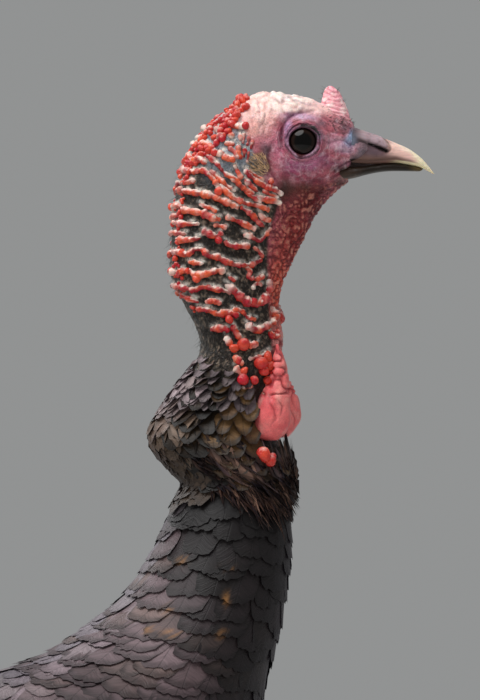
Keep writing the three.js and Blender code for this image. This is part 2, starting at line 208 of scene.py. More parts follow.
# ---- surfaces
def body_surface(station, angle):
    """A ring point: centre + up (half height) cos(angle) in the ring's plane, and y = (half width)
    sin(angle) (1 + shift cos(angle))."""
    back_x, back_z, front_x, front_z, half, shift = np.moveaxis(catmull_rom(STATIONS, station), -1, 0)
    c = np.cos(angle)
    x = (back_x + front_x) / 2 + (back_x - front_x) / 2 * c
    z = (back_z + front_z) / 2 + (back_z - front_z) / 2 * c
    return np.stack(np.broadcast_arrays(x, half * np.sin(angle) * (1 + shift * c), z), -1)


def wing_surface(side):
    """The folded wing's outer face: centre(t) + lean (half height) cos(angle) + outward (half thickness)
    sin(angle)."""
    lean = np.array([-0.2, 0, 0.98])
    outward = unit(np.array([0.1, side * 0.94, -0.3]))

    def surface(t, angle):
        x, z, high, y, thick = np.moveaxis(catmull_rom(WING, np.asarray(t) * (len(WING) - 1)), -1, 0)
        centre = np.stack([x, side * y, z], -1)
        return centre + lean * (high * np.cos(angle))[..., None] + outward * (thick * np.sin(angle))[...,
            None]
    return surface


TAIL_BACK = np.array([-cos(TAIL_SLOPE), 0, -sin(TAIL_SLOPE)])
TAIL_UP = np.array([-sin(TAIL_SLOPE), 0, cos(TAIL_SLOPE)])


def tail_surface(t, angle):
    """The closed tail: ovals along a slope, 4 + 13 (1-t)^1.6 above it and 4 + 34 (1-t)^2 below, arched
    across."""
    t, angle = np.broadcast_arrays(t, angle)
    spare = np.clip(1 - t, 0, 2)
    above, below = 4 + 13 * spare**1.6, 4 + 34 * spare**2
    half = TAIL_ROOT_HALF + (TAIL_TIP_HALF - TAIL_ROOT_HALF) * np.clip(t, 0, 1)**0.8
    across = half * np.sin(angle)
    up = (above - below) / 2 + (above + below) / 2 * np.cos(angle) - TAIL_ARCH * (across / TAIL_TIP_HALF)**2
    flat = TAIL_ROOT + TAIL_BACK * (TAIL_LENGTH * t)[..., None] + TAIL_UP * up[..., None]
    return flat + np.array([0, 1, 0]) * across[..., None]


def limb_surface(stops, across=(0, 1, 0)):
    """A limb through [x, y, z, half depth, half width] stops: ovals square to the path, the width along
    across."""
    stops = np.asarray(stops, float)
    across = np.array(across, float)

    def surface(t, angle):
        t, angle = np.broadcast_arrays(t, angle)
        last = len(stops) - 1
        spot = catmull_rom(stops, t * last)
        ahead = unit((catmull_rom(stops, np.clip(t + 0.01, 0, 1) * last)
            - catmull_rom(stops, np.clip(t - 0.01, 0, 1) * last))[..., :3])
        side = unit(across - ahead * (ahead @ across)[..., None])
        depth = (spot[..., 3] * np.cos(angle))[..., None]
        width = (spot[..., 4] * np.sin(angle))[..., None]
        return spot[..., :3] + np.cross(ahead, side) * depth + side * width
    return surface


SCAN = np.linspace(0, 14, 2801)
SCAN_LINES = catmull_rom(STATIONS, SCAN)


def on_profile(points):
    """(station, angle) of (x, z) points of the head and neck: the ring whose line from back to front passes
    through the point, and the angle whose cosine is the share of that line."""
    back, front = SCAN_LINES[:, 0:2], SCAN_LINES[:, 2:4]
    reach = front - back
    long = size_of(reach)
    stations, angles = [], []
    for x, z in np.asarray(points, float).reshape(-1, 2):
        dx, dz = x - back[:, 0], z - back[:, 1]
        share = (dx * reach[:, 0] + dz * reach[:, 1]) / long**2
        off = np.abs(dx * reach[:, 1] - dz * reach[:, 0]) / long + 50 * np.maximum(np.abs(share - 0.5)
            - 0.55, 0)
        best = np.argmin(off)
        stations.append(SCAN[best])
        angles.append(np.arccos(np.clip(1 - 2 * share[best], -1, 1)))
    shape = np.asarray(points).shape[:-1]
    return np.array(stations).reshape(shape), np.array(angles).reshape(shape)


# ---- gathering grids into one piece
class Gathered:
    """Grids of points put together into one mesh, with their tints, vane places and patches of the OFBake
    map."""

    def __init__(self):
        self.points, self.faces, self.uv, self.tint, self.vane, self.count = [], [], [], [], [], 0

    def grids(self, points, tint, around, patch, vane=None):
        """Adds n grids of rows x columns points (n, rows, columns, 3). patch is (n, 4): left, low, wide and
        high of each grid's place on the map."""
        n, rows, columns = points.shape[:3]
        index = np.arange(n * rows * columns).reshape(n, rows, columns) + self.count
        turned = np.concatenate([index, index[:, :, :1]], 2) if around else index
        a, b = turned[:, :-1, :-1], turned[:, :-1, 1:]
        c, d = turned[:, 1:, 1:], turned[:, 1:, :-1]
        self.faces.append(np.stack([a, b, c, d], -1).reshape(-1, 4))
        across = turned.shape[2] - 1
        j, k = np.meshgrid(np.arange(rows - 1) / (rows - 1), np.arange(across) / across, indexing="ij")
        dj, dk = 1 / (rows - 1), 1 / across
        corners = np.stack([np.stack([k, j], -1), np.stack([k + dk, j], -1), np.stack([k + dk, j + dj], -1),
            np.stack([k, j + dj], -1)], 2)
        patch = np.asarray(patch, float)
        uv = patch[:, None, None, None, :2] + corners[None] * patch[:, None, None, None, 2:]
        self.uv.append(uv.reshape(-1, 2))
        self.points.append(points.reshape(-1, 3))
        if tint.shape[-1] == 3:
            tint = np.concatenate([tint, np.ones(tint.shape[:-1] + (1,))], -1)
        self.tint.append(np.broadcast_to(tint, points.shape[:-1] + (4,)).reshape(-1, 4))
        self.vane.append(np.zeros(points.shape).reshape(-1, 3) if vane is None
            else np.broadcast_to(vane, points.shape).reshape(-1, 3))
        self.count += n * rows * columns

    def grid(self, points, tint, around=False, patch=(0, 0, 1, 1)):
        tint = np.asarray(tint)
        tint = np.broadcast_to(tint, points.shape[:-1] + tint.shape[-1:])
        self.grids(points[None], tint[None], around, np.array([patch]))

    def piece(self, name, material, replaces=(), weld=False):
        """The finished piece: smooth-shaded, riding on the root and standing for the CAD nodes it
        replaces."""
        points, faces = np.concatenate(self.points), np.concatenate(self.faces)
        mesh = bpy.data.meshes.new(name)
        mesh.vertices.add(len(points))
        mesh.vertices.foreach_set("co", place(points).ravel())
        mesh.loops.add(faces.size)
        mesh.loops.foreach_set("vertex_index", faces.ravel().astype(np.int32))
        mesh.polygons.add(len(faces))
        mesh.polygons.foreach_set("loop_start", np.arange(0, faces.size, 4, dtype=np.int32))
        mesh.polygons.foreach_set("use_smooth", np.ones(len(faces), bool))
        mesh.attributes.new("Tint", "FLOAT_COLOR", "POINT").data.foreach_set("color",
            np.concatenate(self.tint).ravel())
        mesh.attributes.new("Vane", "FLOAT_VECTOR", "POINT").data.foreach_set("vector",
            np.concatenate(self.vane).ravel())
        mesh.uv_layers.new(name="OFBake").data.foreach_set("uv", np.concatenate(self.uv).ravel())
        mesh.update(calc_edges=True)
        if weld:
            tidy = bmesh.new()
            tidy.from_mesh(mesh)
            bmesh.ops.remove_doubles(tidy, verts=tidy.verts, dist=2e-6)
            tidy.to_mesh(mesh)
            tidy.free()
        mesh.materials.append(material)
        made = bpy.data.objects.new(name, mesh)
        bpy.context.scene.collection.objects.link(made)
        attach(made, "root")
        if replaces:
            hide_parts(*replaces)


def closed(points):
    """A tube's grid with each end closed on the middle of its last ring."""
    first, last = points[:1].mean(1, keepdims=True), points[-1:].mean(1, keepdims=True)
    wide = np.ones((1, points.shape[1], 1))
    return np.concatenate([first * wide, points, last * wide])


# ---- colours and materials
def linear(colour):
    """An sRGB hex colour as three linear numbers."""
    srgb = np.array([int(colour[k:k + 2], 16) for k in (1, 3, 5)]) / 255
    return np.where(srgb <= 0.04045, srgb / 12.92, ((srgb + 0.055) / 1.055) ** 2.4)


def mixed(a, b, share):
    """Colour a turning into b as share goes from 0 to 1; either may be a hex colour."""
    a, b = (linear(colour) if isinstance(colour, str) else colour for colour in (a, b))
    return a + (b - a) * np.asarray(share)[..., None]


def painted(tint, *layers):
    """The tint under layers laid on in turn, each a hex colour, or what the tint so far is multiplied by,
    and the share of it."""
    for colour, share in layers:
        tint = mixed(tint, colour if isinstance(colour, str) else tint * colour, share)
    return tint


def add_node(tree, kind, inputs=(), **settings):
    """Adds a node: settings are its own, and an input is a number, a colour, the output that feeds it, or a
    node whose first output feeds it."""
    made = tree.nodes.new("ShaderNode" + kind)
    for name, value in settings.items():
        setattr(made, name, value)
    for name, value in dict(inputs).items():
        if isinstance(value, bpy.types.Node):
            value = value.outputs[0]
        if isinstance(value, bpy.types.NodeSocket):
            tree.links.new(value, made.inputs[name])
        else:
            made.inputs[name].default_value = value
    return made


def start_material(name, **sockets):
    """A material with its surface shader, whose plain sockets are set here."""
    material = bpy.data.materials.new(name)
    material.use_nodes = True
    tree = material.node_tree
    shader = tree.nodes["Principled BSDF"]
    for socket, value in sockets.items():
        shader.inputs[socket.replace("_", " ")].default_value = value
    return material, tree, shader


def tint_times(tree, shader, pattern, low, high):
    """The painted tint, made darker and lighter by a pattern from low to high."""
    tint = add_node(tree, "Attribute", attribute_name="Tint")
    share = add_node(tree, "MapRange", {"Value": pattern, "To Min": low, "To Max": high})
    times = add_node(tree, "VectorMath", {0: tint, 1: share}, operation="MULTIPLY")
    tree.links.new(times.outputs["Vector"], shader.inputs["Base Color"])


def bumped(tree, shader, height, distance, strength=1.0, onto=None):
    """Relief from a height pattern; distance is its depth in metres."""
    settings = {"Height": height, "Distance": distance, "Strength": strength}
    if onto:
        settings["Normal"] = onto
    made = add_node(tree, "Bump", settings)
    tree.links.new(made.outputs["Normal"], shader.inputs["Normal"])
    return made


def bare_skin():
    """Living, damp bare skin: thin and bloody, so light goes a little way in. Small domed cells 1.3 mm
    wide, parted by paler creases, and wrinkles 0.6 mm wide break its satin gloss. The tint's fourth channel
    is how coarse the cells are."""
    material, tree, shader = start_material("bare_damp_skin", Roughness=0.4, IOR=1.4,
        Subsurface_Weight=0.08, Subsurface_Scale=0.0012)
    where = add_node(tree, "TexCoord").outputs["Object"]
    coarse = add_node(tree, "Attribute", attribute_name="Tint").outputs["Alpha"]
    drift = add_node(tree, "TexNoise", {"Vector": where, "Scale": 300.0, "Detail": 2.0})
    bent = add_node(tree, "VectorMath", {0: drift.outputs["Color"], 1: (0.0016, 0.0016, 0.0016), 2: where},
        operation="MULTIPLY_ADD")
    cells = add_node(tree, "TexVoronoi", {"Vector": bent, "Scale": 750.0}, feature="DISTANCE_TO_EDGE")
    dome = add_node(tree, "MapRange", {"Value": cells, "From Max": 0.22})
    mottle = add_node(tree, "TexNoise", {"Vector": where, "Scale": 380.0, "Detail": 5.0, "Roughness": 0.7})
    speckle = add_node(tree, "Math", {0: dome, 1: -0.22, 2: mottle}, operation="MULTIPLY_ADD")
    calm = add_node(tree, "MapRange", {"Value": coarse, "From Min": 0.1, "From Max": 0.3, "To Min": 0.4})
    level = add_node(tree, "Mix", {"Factor": calm, "A": 0.4, "B": speckle})
    tint_times(tree, shader, level, 0.5, 1.95)
    gloss = add_node(tree, "MapRange", {"Value": mottle, "To Min": 0.22, "To Max": 0.6})
    tree.links.new(gloss.outputs["Result"], shader.inputs["Roughness"])
    wrinkles = add_node(tree, "TexNoise", {"Vector": where, "Scale": 1100.0, "Detail": 4.0})
    first = bumped(tree, shader, dome, 0.0006, coarse)
    bumped(tree, shader, wrinkles, 0.0006, 0.5, first)
    return material


def caruncle_skin():
    """Swollen, blood-filled growths: taut smooth skin, glossier than the rest, grained every 0.8 mm."""
    material, tree, shader = start_material("taut_caruncle_skin", Roughness=0.22, IOR=1.42,
        Subsurface_Weight=0.1, Subsurface_Scale=0.0012)
    where = add_node(tree, "TexCoord").outputs["Object"]
    grain = add_node(tree, "TexNoise", {"Vector": where, "Scale": 650.0, "Detail": 5.0, "Roughness": 0.65})
    tint_times(tree, shader, grain, 0.6, 1.4)
    fine = add_node(tree, "TexNoise", {"Vector": where, "Scale": 1200.0, "Detail": 3.0})
    bumped(tree, shader, fine, 0.0007, 0.6)
    return material


BARB_PITCH = 0.9                           # mm from barb to barb, coarser than real, so that they show


def barb_pattern(tree):
    """Barbs: streaks that leave the shaft at a slant. The vane's place is across (mm), along (mm) and a
    number of its own. Gives the distance from the shaft, the place along it, and the streaks."""
    place_on = add_node(tree, "Attribute", attribute_name="Vane")
    parts = add_node(tree, "SeparateXYZ", {"Vector": place_on.outputs["Vector"]}).outputs
    across = add_node(tree, "Math", {0: parts["X"]}, operation="ABSOLUTE")
    slant = add_node(tree, "Math", {0: across, 1: -0.8, 2: parts["Y"]}, operation="MULTIPLY_ADD")
    phase = add_node(tree, "Math", {0: slant, 1: 1 / BARB_PITCH}, operation="MULTIPLY")
    wander = add_node(tree, "Math", {0: across, 1: 0.09}, operation="MULTIPLY")
    spot = add_node(tree, "CombineXYZ", {"X": phase, "Y": wander, "Z": parts["Z"]})
    streaks = add_node(tree, "TexNoise", {"Vector": spot, "Scale": 1.0, "Detail": 2.0})
    shaft = add_node(tree, "MapRange", {"Value": across, "From Min": 0.15, "From Max": 0.5, "To Min": -0.32,
        "To Max": 0.0})
    return across, parts["Y"], add_node(tree, "Math", {0: streaks, 1: shaft}, operation="ADD")


def contour_vanes():
    """Body feathers, keratin dark with pigment: closed barbs give a soft sheen along each vane."""
    material, tree, shader = start_material("contour_feather_vane", Roughness=0.55, IOR=1.55,
        Specular_IOR_Level=0.28, Sheen_Weight=0.1, Sheen_Roughness=0.45,
        Sheen_Tint=(*linear("#9c8fa8"), 1.0))
    streaks = barb_pattern(tree)[-1]
    tint_times(tree, shader, streaks, 0.45, 1.6)
    bumped(tree, shader, streaks, 0.0004, 0.6)
    return material


def barred_vanes(name, bar, pitch, share, lean, darkest):
    """Flight feathers: stiff vanes with bars that lean off the shaft, one every pitch mm, over the painted
    ground; share is how much of the pitch is bar, and the tint's fourth channel how strong it is."""
    material, tree, shader = start_material(name, Roughness=0.5, IOR=1.55, Specular_IOR_Level=0.35)
    across, along, streaks = barb_pattern(tree)
    leaning = add_node(tree, "Math", {0: across, 1: -lean, 2: along}, operation="MULTIPLY_ADD")
    wobble = add_node(tree, "Math", {0: streaks, 1: 2.4, 2: leaning}, operation="MULTIPLY_ADD")
    turn = add_node(tree, "Math", {0: wobble, 1: 1 / pitch}, operation="MULTIPLY")
    saw = add_node(tree, "Math", {0: turn}, operation="FRACT")
    inside = add_node(tree, "Math", {0: saw, 1: 0.5}, operation="SUBTRACT")
    far = add_node(tree, "Math", {0: inside}, operation="ABSOLUTE")
    edge = add_node(tree, "MapRange", {"Value": far, "From Min": share / 2 - 0.06, "From Max": share / 2
        + 0.06, "To Min": 1.0, "To Max": 0.0})
    tint = add_node(tree, "Attribute", attribute_name="Tint")
    keep = add_node(tree, "Math", {0: edge, 1: tint.outputs["Alpha"]}, operation="MULTIPLY")
    mix = add_node(tree, "Mix", {"Factor": keep, "A": tint, "B": (*linear(bar), 1.0)}, data_type="RGBA")
    shade = add_node(tree, "MapRange", {"Value": streaks, "To Min": darkest, "To Max": 1.35})
    times = add_node(tree, "VectorMath", {0: mix.outputs["Result"], 1: shade}, operation="MULTIPLY")
    tree.links.new(times.outputs["Vector"], shader.inputs["Base Color"])
    bumped(tree, shader, streaks, 0.0004, 0.5)
    return material


def bill_horn():
    """Keratin horn: translucent, rubbed to a satin gloss, with growth lines along its length."""
    material, tree, shader = start_material("rubbed_bill_horn", Roughness=0.42, IOR=1.5,
        Specular_IOR_Level=0.28, Subsurface_Weight=0.08, Subsurface_Scale=0.001)
    where = add_node(tree, "TexCoord").outputs["Object"]
    drawn = add_node(tree, "Mapping", {"Vector": where, "Scale": (120.0, 900.0, 900.0)})
    lines = add_node(tree, "TexNoise", {"Vector": drawn, "Scale": 1.0, "Detail": 5.0})
    tint_times(tree, shader, lines, 0.68, 1.3)
    bumped(tree, shader, lines, 0.0003, 0.5)
    return material


def eye_ball():
    """The wet cornea over a very dark brown iris: mirror-smooth, so that it holds a soft highlight."""
    material, tree, shader = start_material("wet_cornea_over_iris", Roughness=0.03, IOR=1.36,
        Specular_IOR_Level=0.35)
    tint = add_node(tree, "Attribute", attribute_name="Tint")
    tree.links.new(tint.outputs["Color"], shader.inputs["Base Color"])
    return material


def grained(name, grain, low, high, relief=None, **sockets):
    """Keratin with one grain: its scale, detail and roughness. The tint runs from low to high over it, and
    relief is how deep in metres and how strongly it stands up."""
    material, tree, shader = start_material(name, **sockets)
    where = add_node(tree, "TexCoord").outputs["Object"]
    pattern = add_node(tree, "TexNoise",
        {"Vector": where, **dict(zip(("Scale", "Detail", "Roughness"), grain))})
    tint_times(tree, shader, pattern, low, high)
    if relief:
        bumped(tree, shader, pattern, *relief)
    return material


def leg_scutes():
    """Horny plates over the leg: dry keratin, each plate slightly crazed, dull in the grooves."""
    return grained("leg_scute_keratin", (600.0, 6.0, 0.7), 0.6, 1.35, (0.0004, 0.6), Roughness=0.5, IOR=1.5)


def claw_horn():
    """Claw and spur keratin, worn smooth at the point, with fine rings of growth at its root."""
    return grained("claw_horn", (900.0, 4.0, 0.5), 0.6, 1.4, (0.0002, 0.5), Roughness=0.36, IOR=1.54)


def bristle_keratin():
    """Solid bristles: coarse round keratin, faintly glossy."""
    return grained("bristle_keratin", (300.0, 2.0, 0.5), 0.6, 1.4, Roughness=0.38, IOR=1.55)


SKIN, CARUNCLE, HORN, WET_EYE = bare_skin(), caruncle_skin(), bill_horn(), eye_ball()
CONTOUR = contour_vanes()
WING_QUILL = barred_vanes("barred_wing_quill", "#bdb2a3", 11.0, 0.46, 0.35, 0.6)
TAIL_QUILL = barred_vanes("barred_tail_quill", "#17100d", 5.0, 0.36, 0.7, 0.6)
SCUTE, CLAW_HORN, BRISTLE = leg_scutes(), claw_horn(), bristle_keratin()

# ---- the ridges of the neck
# Ridges of the right side of the neck: thickness in mm, then places (column, row) on the profile's grid.
RIDGES = [[1.6, 231, 127, 238, 127.5, 246, 127.5], [1.3, 222, 124, 229, 125, 234, 124.5],
    [1.2, 224, 118, 229, 117, 233, 119], [1.2, 206, 130.5, 213, 130], [1.7, 218, 129, 220, 136, 223, 140],
    [1.5, 231, 134, 232.5, 139.5], [1.2, 224, 144, 229, 145, 235, 144.5], [1.4, 197, 139, 204, 138],
    [1.4, 196, 143.5, 205, 144, 211, 147.5, 215.5, 153, 219, 155, 224.5, 153],
    [1.3, 222, 157, 229, 159.5, 236, 160.5], [1.3, 239, 146, 238.5, 155, 242.5, 160],
    [1.2, 206, 156, 212, 159.5, 217.5, 165, 223, 172, 229.5, 177, 236, 180, 240, 185.5, 248, 191, 254.5,
    195], [1.4, 189, 154, 193.5, 161.5, 199, 159.5, 207, 164],
    [1.4, 181, 170, 189, 171.5, 196, 172.5, 203.5, 171, 211, 177, 216.5, 184.5, 219, 192],
    [1.3, 220, 184, 227, 193, 236, 199.5, 247, 204, 258, 206, 270, 210.5],
    [1.0, 234, 165, 238, 173, 242, 180], [1.4, 243.5, 170, 252, 178, 261, 184.5, 268.5, 187.5, 275, 190,
    283, 195.5], [1.2, 244.5, 180, 251, 186.5, 258, 192], [1.5, 255, 196, 264, 199.5, 273, 200.5, 281, 204],
    [1.4, 268, 181, 274, 182.5], [1.2, 177, 183.5, 186, 183.5, 196, 181],
    [1.5, 174, 190, 187, 192, 200, 194, 212, 196.5, 221, 200.5, 229.5, 204, 239, 208.5],
    [1.3, 240, 207, 247, 211.5, 253.5, 217, 258, 222.5, 264, 227],
    [1.6, 170, 207, 179.5, 206, 185, 210.5, 196, 212.5, 206.5, 215, 214, 219, 221, 220],
    [1.3, 225, 217, 234, 220, 242.5, 223.5, 250, 227.5, 256, 229.5],
    [1.4, 168, 216, 174, 216.5, 180, 215.5], [1.4, 174, 222.5, 186, 224.5, 200, 224.5],
    [1.4, 202, 230.5, 209, 234, 216.5, 236.5, 223, 232], [1.2, 169, 233, 179.5, 233.5, 187, 234.5],
    [1.5, 176, 240, 190, 240, 201, 238.5], [1.4, 223.5, 241.5, 231.5, 246, 240, 246.5, 250, 245],
    [1.3, 243, 235, 250, 236.5, 259, 241, 265, 235.5, 271, 227.5],
    [1.5, 171, 253, 180.5, 252.5, 189, 255, 195, 249.5, 203.5, 250.5, 209, 256.5, 217, 257, 222.5, 260,
    231.5, 264, 244.5, 265.5, 253.5, 264, 262, 259], [1.2, 253, 247, 260, 253, 262.5, 259],
    [1.5, 170, 272, 180, 272, 189, 270.5, 196, 275, 209, 273.5, 217, 270.5, 226, 272],
    [1.3, 244.5, 266, 250.5, 272, 247.5, 276.5, 256, 279.5, 264, 275],
    [1.4, 171, 285, 183, 287, 195, 290, 202, 287, 215, 289, 231.5, 292.5],
    [1.8, 225, 284.5, 233, 290, 241.5, 298.5, 249, 303, 258, 304, 265, 297, 269, 288, 268, 279],
    [1.3, 178, 291, 187, 297, 199, 302], [1.4, 197, 308.5, 209, 310, 218, 314, 228.5, 312.5, 239, 316],
    [1.2, 232, 310, 241.5, 311, 247.5, 317.5, 256, 320], [1.4, 211, 329, 222.5, 328, 230, 331],
    [1.8, 245, 324, 255, 330, 265, 326.5, 274, 319, 271, 306], [1.3, 268, 332, 274, 338, 275.5, 329],
    [1.7, 231.5, 325, 238.5, 336.5, 243, 345], [1.5, 225, 336, 233, 347, 238, 350],
    [1.6, 247, 346, 258, 343.5], [1.5, 234, 355, 238.5, 361.5, 244, 364],
    [1.7, 234, 367, 243, 375, 243, 382], [1.4, 248, 359, 259, 357, 270, 352],
    [1.4, 242, 387, 248, 387, 254, 384.5], [2.6, 269, 391, 267.5, 400, 265, 404], [0.9, 240, 133, 241, 142],
    [0.9, 244.5, 134, 243, 145], [0.9, 249, 137, 247, 147], [0.8, 253, 141, 250.5, 150],
    [0.8, 245, 149, 244, 159], [0.8, 249, 152, 247, 164], [1.1, 228, 148, 235, 153, 238, 160],
    [1.1, 210, 171, 220, 180, 228, 187, 236, 192], [1.0, 248, 171, 256, 176, 264, 181],
    [1.0, 262, 190, 270, 195, 279, 198], [1.1, 230, 177, 240, 187, 251, 196, 262, 203],
    [1.1, 199, 205, 209, 208, 217, 213], [1.1, 213, 226, 220, 226, 227, 229],
    [1.2, 258, 213, 264, 219, 271, 221], [1.1, 205, 302, 214, 301, 222, 304],
    [1.1, 252, 290, 256, 283, 262, 286], [1.0, 188, 262, 196, 263, 204, 264], [1.1, 228, 277, 236, 281]]
# Round growths: column, row, radius in mm.
BERRIES = [(242.5, 100.5, 2.3), (245.5, 108.5, 1.9), (237.5, 117.5, 2.5), (233, 109, 1.7),
    (245.5, 127.5, 2.0), (222.5, 140, 2.3), (227, 111, 1.5), (218.5, 241, 2.0), (219, 192, 2.1),
    (198, 278, 2.3), (229, 319.5, 2.2), (215, 154, 2.2), (243.5, 344, 3.2), (234, 348, 2.6),
    (243, 380, 3.0), (253, 380, 2.4), (259, 363, 3.3), (266, 357, 2.8), (268, 365, 2.7), (262, 371, 2.9),
    (271, 374, 2.3), (266, 380, 2.2), (238.5, 361, 2.2), (274, 366, 2.0), (261.5, 454.5, 3.7),
    (267, 461, 3.1), (271, 456.5, 2.0), (236, 103, 1.5), (228, 122, 1.5), (213, 126, 1.6), (207, 134, 1.7),
    (202, 142, 1.6), (194, 150, 1.7), (187, 162, 1.7), (182, 173, 1.9), (176, 189, 1.8), (173, 206, 2.0),
    (190, 171, 1.8), (172, 254, 1.9), (183, 253, 2.0), (173, 271, 1.8), (189, 271, 1.7), (252, 303, 2.2),
    (246, 302, 2.0), (266, 188, 1.6), (244, 371, 2.2)]
RIDGE_THICK = 1.06                         # how much thicker the ridges stand than their table


def ridge_lines(side):
    """The ridges of one side as smooth lines of (x, z); the left side's wander a little from the
    right's."""
    found = []
    for thick, *spots in RIDGES:
        spots = np.array(spots, float).reshape(-1, 2)
        if side > 0:
            spots = spots + rng.normal(0, [2.0, 1.2]) + rng.normal(0, 0.7, spots.shape)
        line = catmull_rom(spots, np.linspace(0, len(spots) - 1, 6 * len(spots)))
        found.append((at(line[:, 0], line[:, 1]), thick * RIDGE_THICK))
    return found


RIDGE_LINES = {-1: ridge_lines(-1), 1: ridge_lines(1)}


# ---- the head's relief and markings
# Creases of the bare head: depth and half width in mm, then places (column, row) on the profile's grid.
CREASES = [
    [2.1, 1.1, 281, 149, 280.5, 136, 284, 124, 292, 116, 302, 112, 313, 112],  # brow fold
    [0.6, 0.6, 287, 143, 288.5, 134, 293, 127.5, 301, 123.8, 311, 122.5, 318, 127],  # upper lid
    [0.6, 0.7, 288, 151, 293, 157.5, 301, 162.5, 310, 158.7, 317, 151],  # lower lid
    [0.5, 1.1, 278, 168, 290, 176, 306, 181.5, 319, 180.8, 330, 173],  # cheek
    [0.4, 0.8, 283, 158, 291, 168, 303, 172.5, 318, 170, 328, 162],
    [0.6, 0.8, 319, 139, 330, 143, 340, 140.5, 350, 143, 360, 153],  # lores
    [0.5, 0.8, 317, 158.7, 327, 156, 337, 152, 347, 151, 358, 155],
    [0.4, 0.7, 322, 166, 332, 163, 342, 158, 352, 157],
    [1.1, 0.8, 331, 178, 335, 171, 341, 165.5, 350, 161.5, 361, 158],  # gape, above
    [1.5, 0.7, 329, 181, 336, 176, 346, 170.5, 362, 167.5, 372, 166.8],  # mouth line
    [0.7, 0.7, 257, 99, 259, 108, 259.7, 121, 260, 131],  # crown
    [0.5, 0.6, 264, 98, 266.5, 108, 265, 118, 261, 128, 258, 135],
    [0.35, 0.7, 273, 106, 271, 118, 265, 130, 261, 137],
    [0.5, 0.6, 250, 103, 253.5, 113, 252, 124, 254.5, 134],
    [0.35, 0.6, 246, 110, 248, 120, 248, 131],
    [0.35, 0.8, 281, 113, 275, 126, 270, 138, 263, 144],
    [0.5, 0.9, 270, 96, 280, 102, 290, 103],
    [0.6, 0.9, 283, 96, 295, 101, 308, 106, 317, 106],
    [0.8, 1.0, 272, 144, 267, 156, 270, 170, 279, 186],  # behind the cheek
    [0.7, 0.9, 335, 180, 327, 186, 317, 194, 309, 204],  # jaw
    [0.5, 0.7, 340, 183, 331, 190, 321, 200],
    [0.6, 0.8, 321, 117, 331, 121, 341, 124, 351, 129],
    [0.5, 0.7, 325, 129, 336, 133, 349, 135],
    [0.5, 0.6, 334, 113, 342, 118, 350, 126],
    [0.5, 0.8, 343, 134, 347, 142, 355, 150],
]
# Swellings: column, row, half sizes across and down in mm, height in mm.
SWELLINGS = [(256, 128, 3.4, 5.0, 1.5), (289, 130, 3.0, 7.0, 0.9), (303, 117, 7.0, 2.0, 0.9),
    (305, 173, 9.0, 4.0, 0.9), (337, 147, 6.0, 3.0, 0.8), (320, 148, 3.0, 5.0, 0.6),
    (283, 161, 3.5, 6.5, 0.7), (347, 182, 6.0, 2.5, 0.6), (262, 94, 3.5, 4.0, 0.8),
    (276, 92, 4.0, 4.0, 0.9), (293, 95, 4.0, 3.5, 0.7), (309, 100, 3.5, 3.0, 0.8),
    (296, 107, 9.0, 2.0, 0.7)]
# Markings of the bare head: column, row, half sizes in grid squares, colour, strength. The wide pale one
# over the top of the crown is partly the skin's own pale colour and partly painted highlight from the light
# above; the dark ones low on the cheek and under the jaw are partly painted shade.
MARKINGS = [(285, 99, 44, 17, "#fbe8de", 1.0), (258, 112, 17, 22, "#f3cdc2", 0.9),
    (250, 130, 9, 9, "#e6a99d", 0.8), (322, 107, 15, 7, "#e8bdb8", 0.8),
    (281, 136, 3.0, 15, "#7d3b52", 0.8), (291, 116, 9, 3.0, "#7f3f56", 0.8),
    (289, 134, 5, 14, "#b48eb6", 0.9), (301, 118, 15, 4, "#c09ab6", 0.9), (320, 125, 7, 5, "#6f5c68", 0.7),
    (277, 150, 8, 16, "#c46c84", 0.85), (266, 146, 5, 7, "#c98a9a", 0.5),
    (300, 174, 24, 9, "#994358", 0.95), (318, 160, 12, 7, "#b56a8c", 0.8), (291, 166, 9, 8, "#9c4c74", 0.7),
    (306, 166, 12, 4, "#a9668f", 0.6), (334, 143, 10, 8, "#be8a9c", 0.85),
    (345, 148, 9, 6, "#b79ab2", 0.75), (340, 122, 10, 6, "#c48c92", 0.7), (345, 128, 6, 5, "#56505a", 0.65),
    (354, 133, 4, 5, "#6f7f93", 0.8), (353, 139, 6, 6, "#86a2c0", 0.95), (361, 152, 5, 5, "#8798aa", 0.85),
    (371, 146, 8, 7, "#71626b", 0.95), (374, 157, 12, 5, "#6a5355", 0.95),
    (349, 141, 7, 5, "#8ea3be", 0.85), (374, 166, 24, 4.5, "#241715", 0.97),
    (360, 161, 12, 2.5, "#5e4347", 0.9), (328, 165, 9, 4, "#8d4660", 0.7),
    (318, 137, 5, 5, "#a99bb8", 0.85), (305, 190, 27, 8, "#4a1f19", 0.97),
    (284, 192, 10, 15, "#31190f", 0.95), (317, 181, 10, 5, "#7a2f43", 0.8),
    (345, 164, 14, 3.5, "#8b6474", 0.7), (345, 169.5, 15, 3.0, "#33201f", 0.95),
    (344, 178, 12, 3.5, "#7a6a64", 0.8), (340, 184, 9, 3.5, "#4f3634", 0.9),
    (308, 204, 16, 12, "#571a1a", 0.95), (296, 236, 18, 36, "#97302c", 0.95),
    (316, 214, 8, 30, "#7a222a", 0.7), (279, 296, 12, 50, "#d85c48", 0.97),
    (260, 166, 10, 12, "#4a3628", 0.95), (266, 151, 6, 7, "#3a3438", 0.8),
    (283, 375, 14, 45, "#df8484", 0.9)]
# The line where the dark neck skin begins, behind the cheek and the red throat.
DARK_EDGE = np.array([(80, 236), (97, 240), (118, 240), (135, 246), (152, 252), (166, 258), (182, 264),
    (199, 279), (212, 276), (230, 268), (250, 267), (300, 268), (330, 271), (350, 272), (380, 275),
    (420, 278)])
# The line of the nape, from its top down.
NAPE_EDGE = np.array([(97, 246), (110, 231), (120, 214), (130, 206), (140, 196), (150, 193), (160, 187),
    (170, 182), (190, 176), (220, 173), (250, 171), (270, 172), (290, 178), (310, 191), (330, 199),
    (372, 194)])


def grid_square(points):
    """(column, row) on the profile's drawing grid of points in mm."""
    return points[..., 0] / GRID - GRID_LEFT, (GRID_TOP - points[..., 2]) / GRID


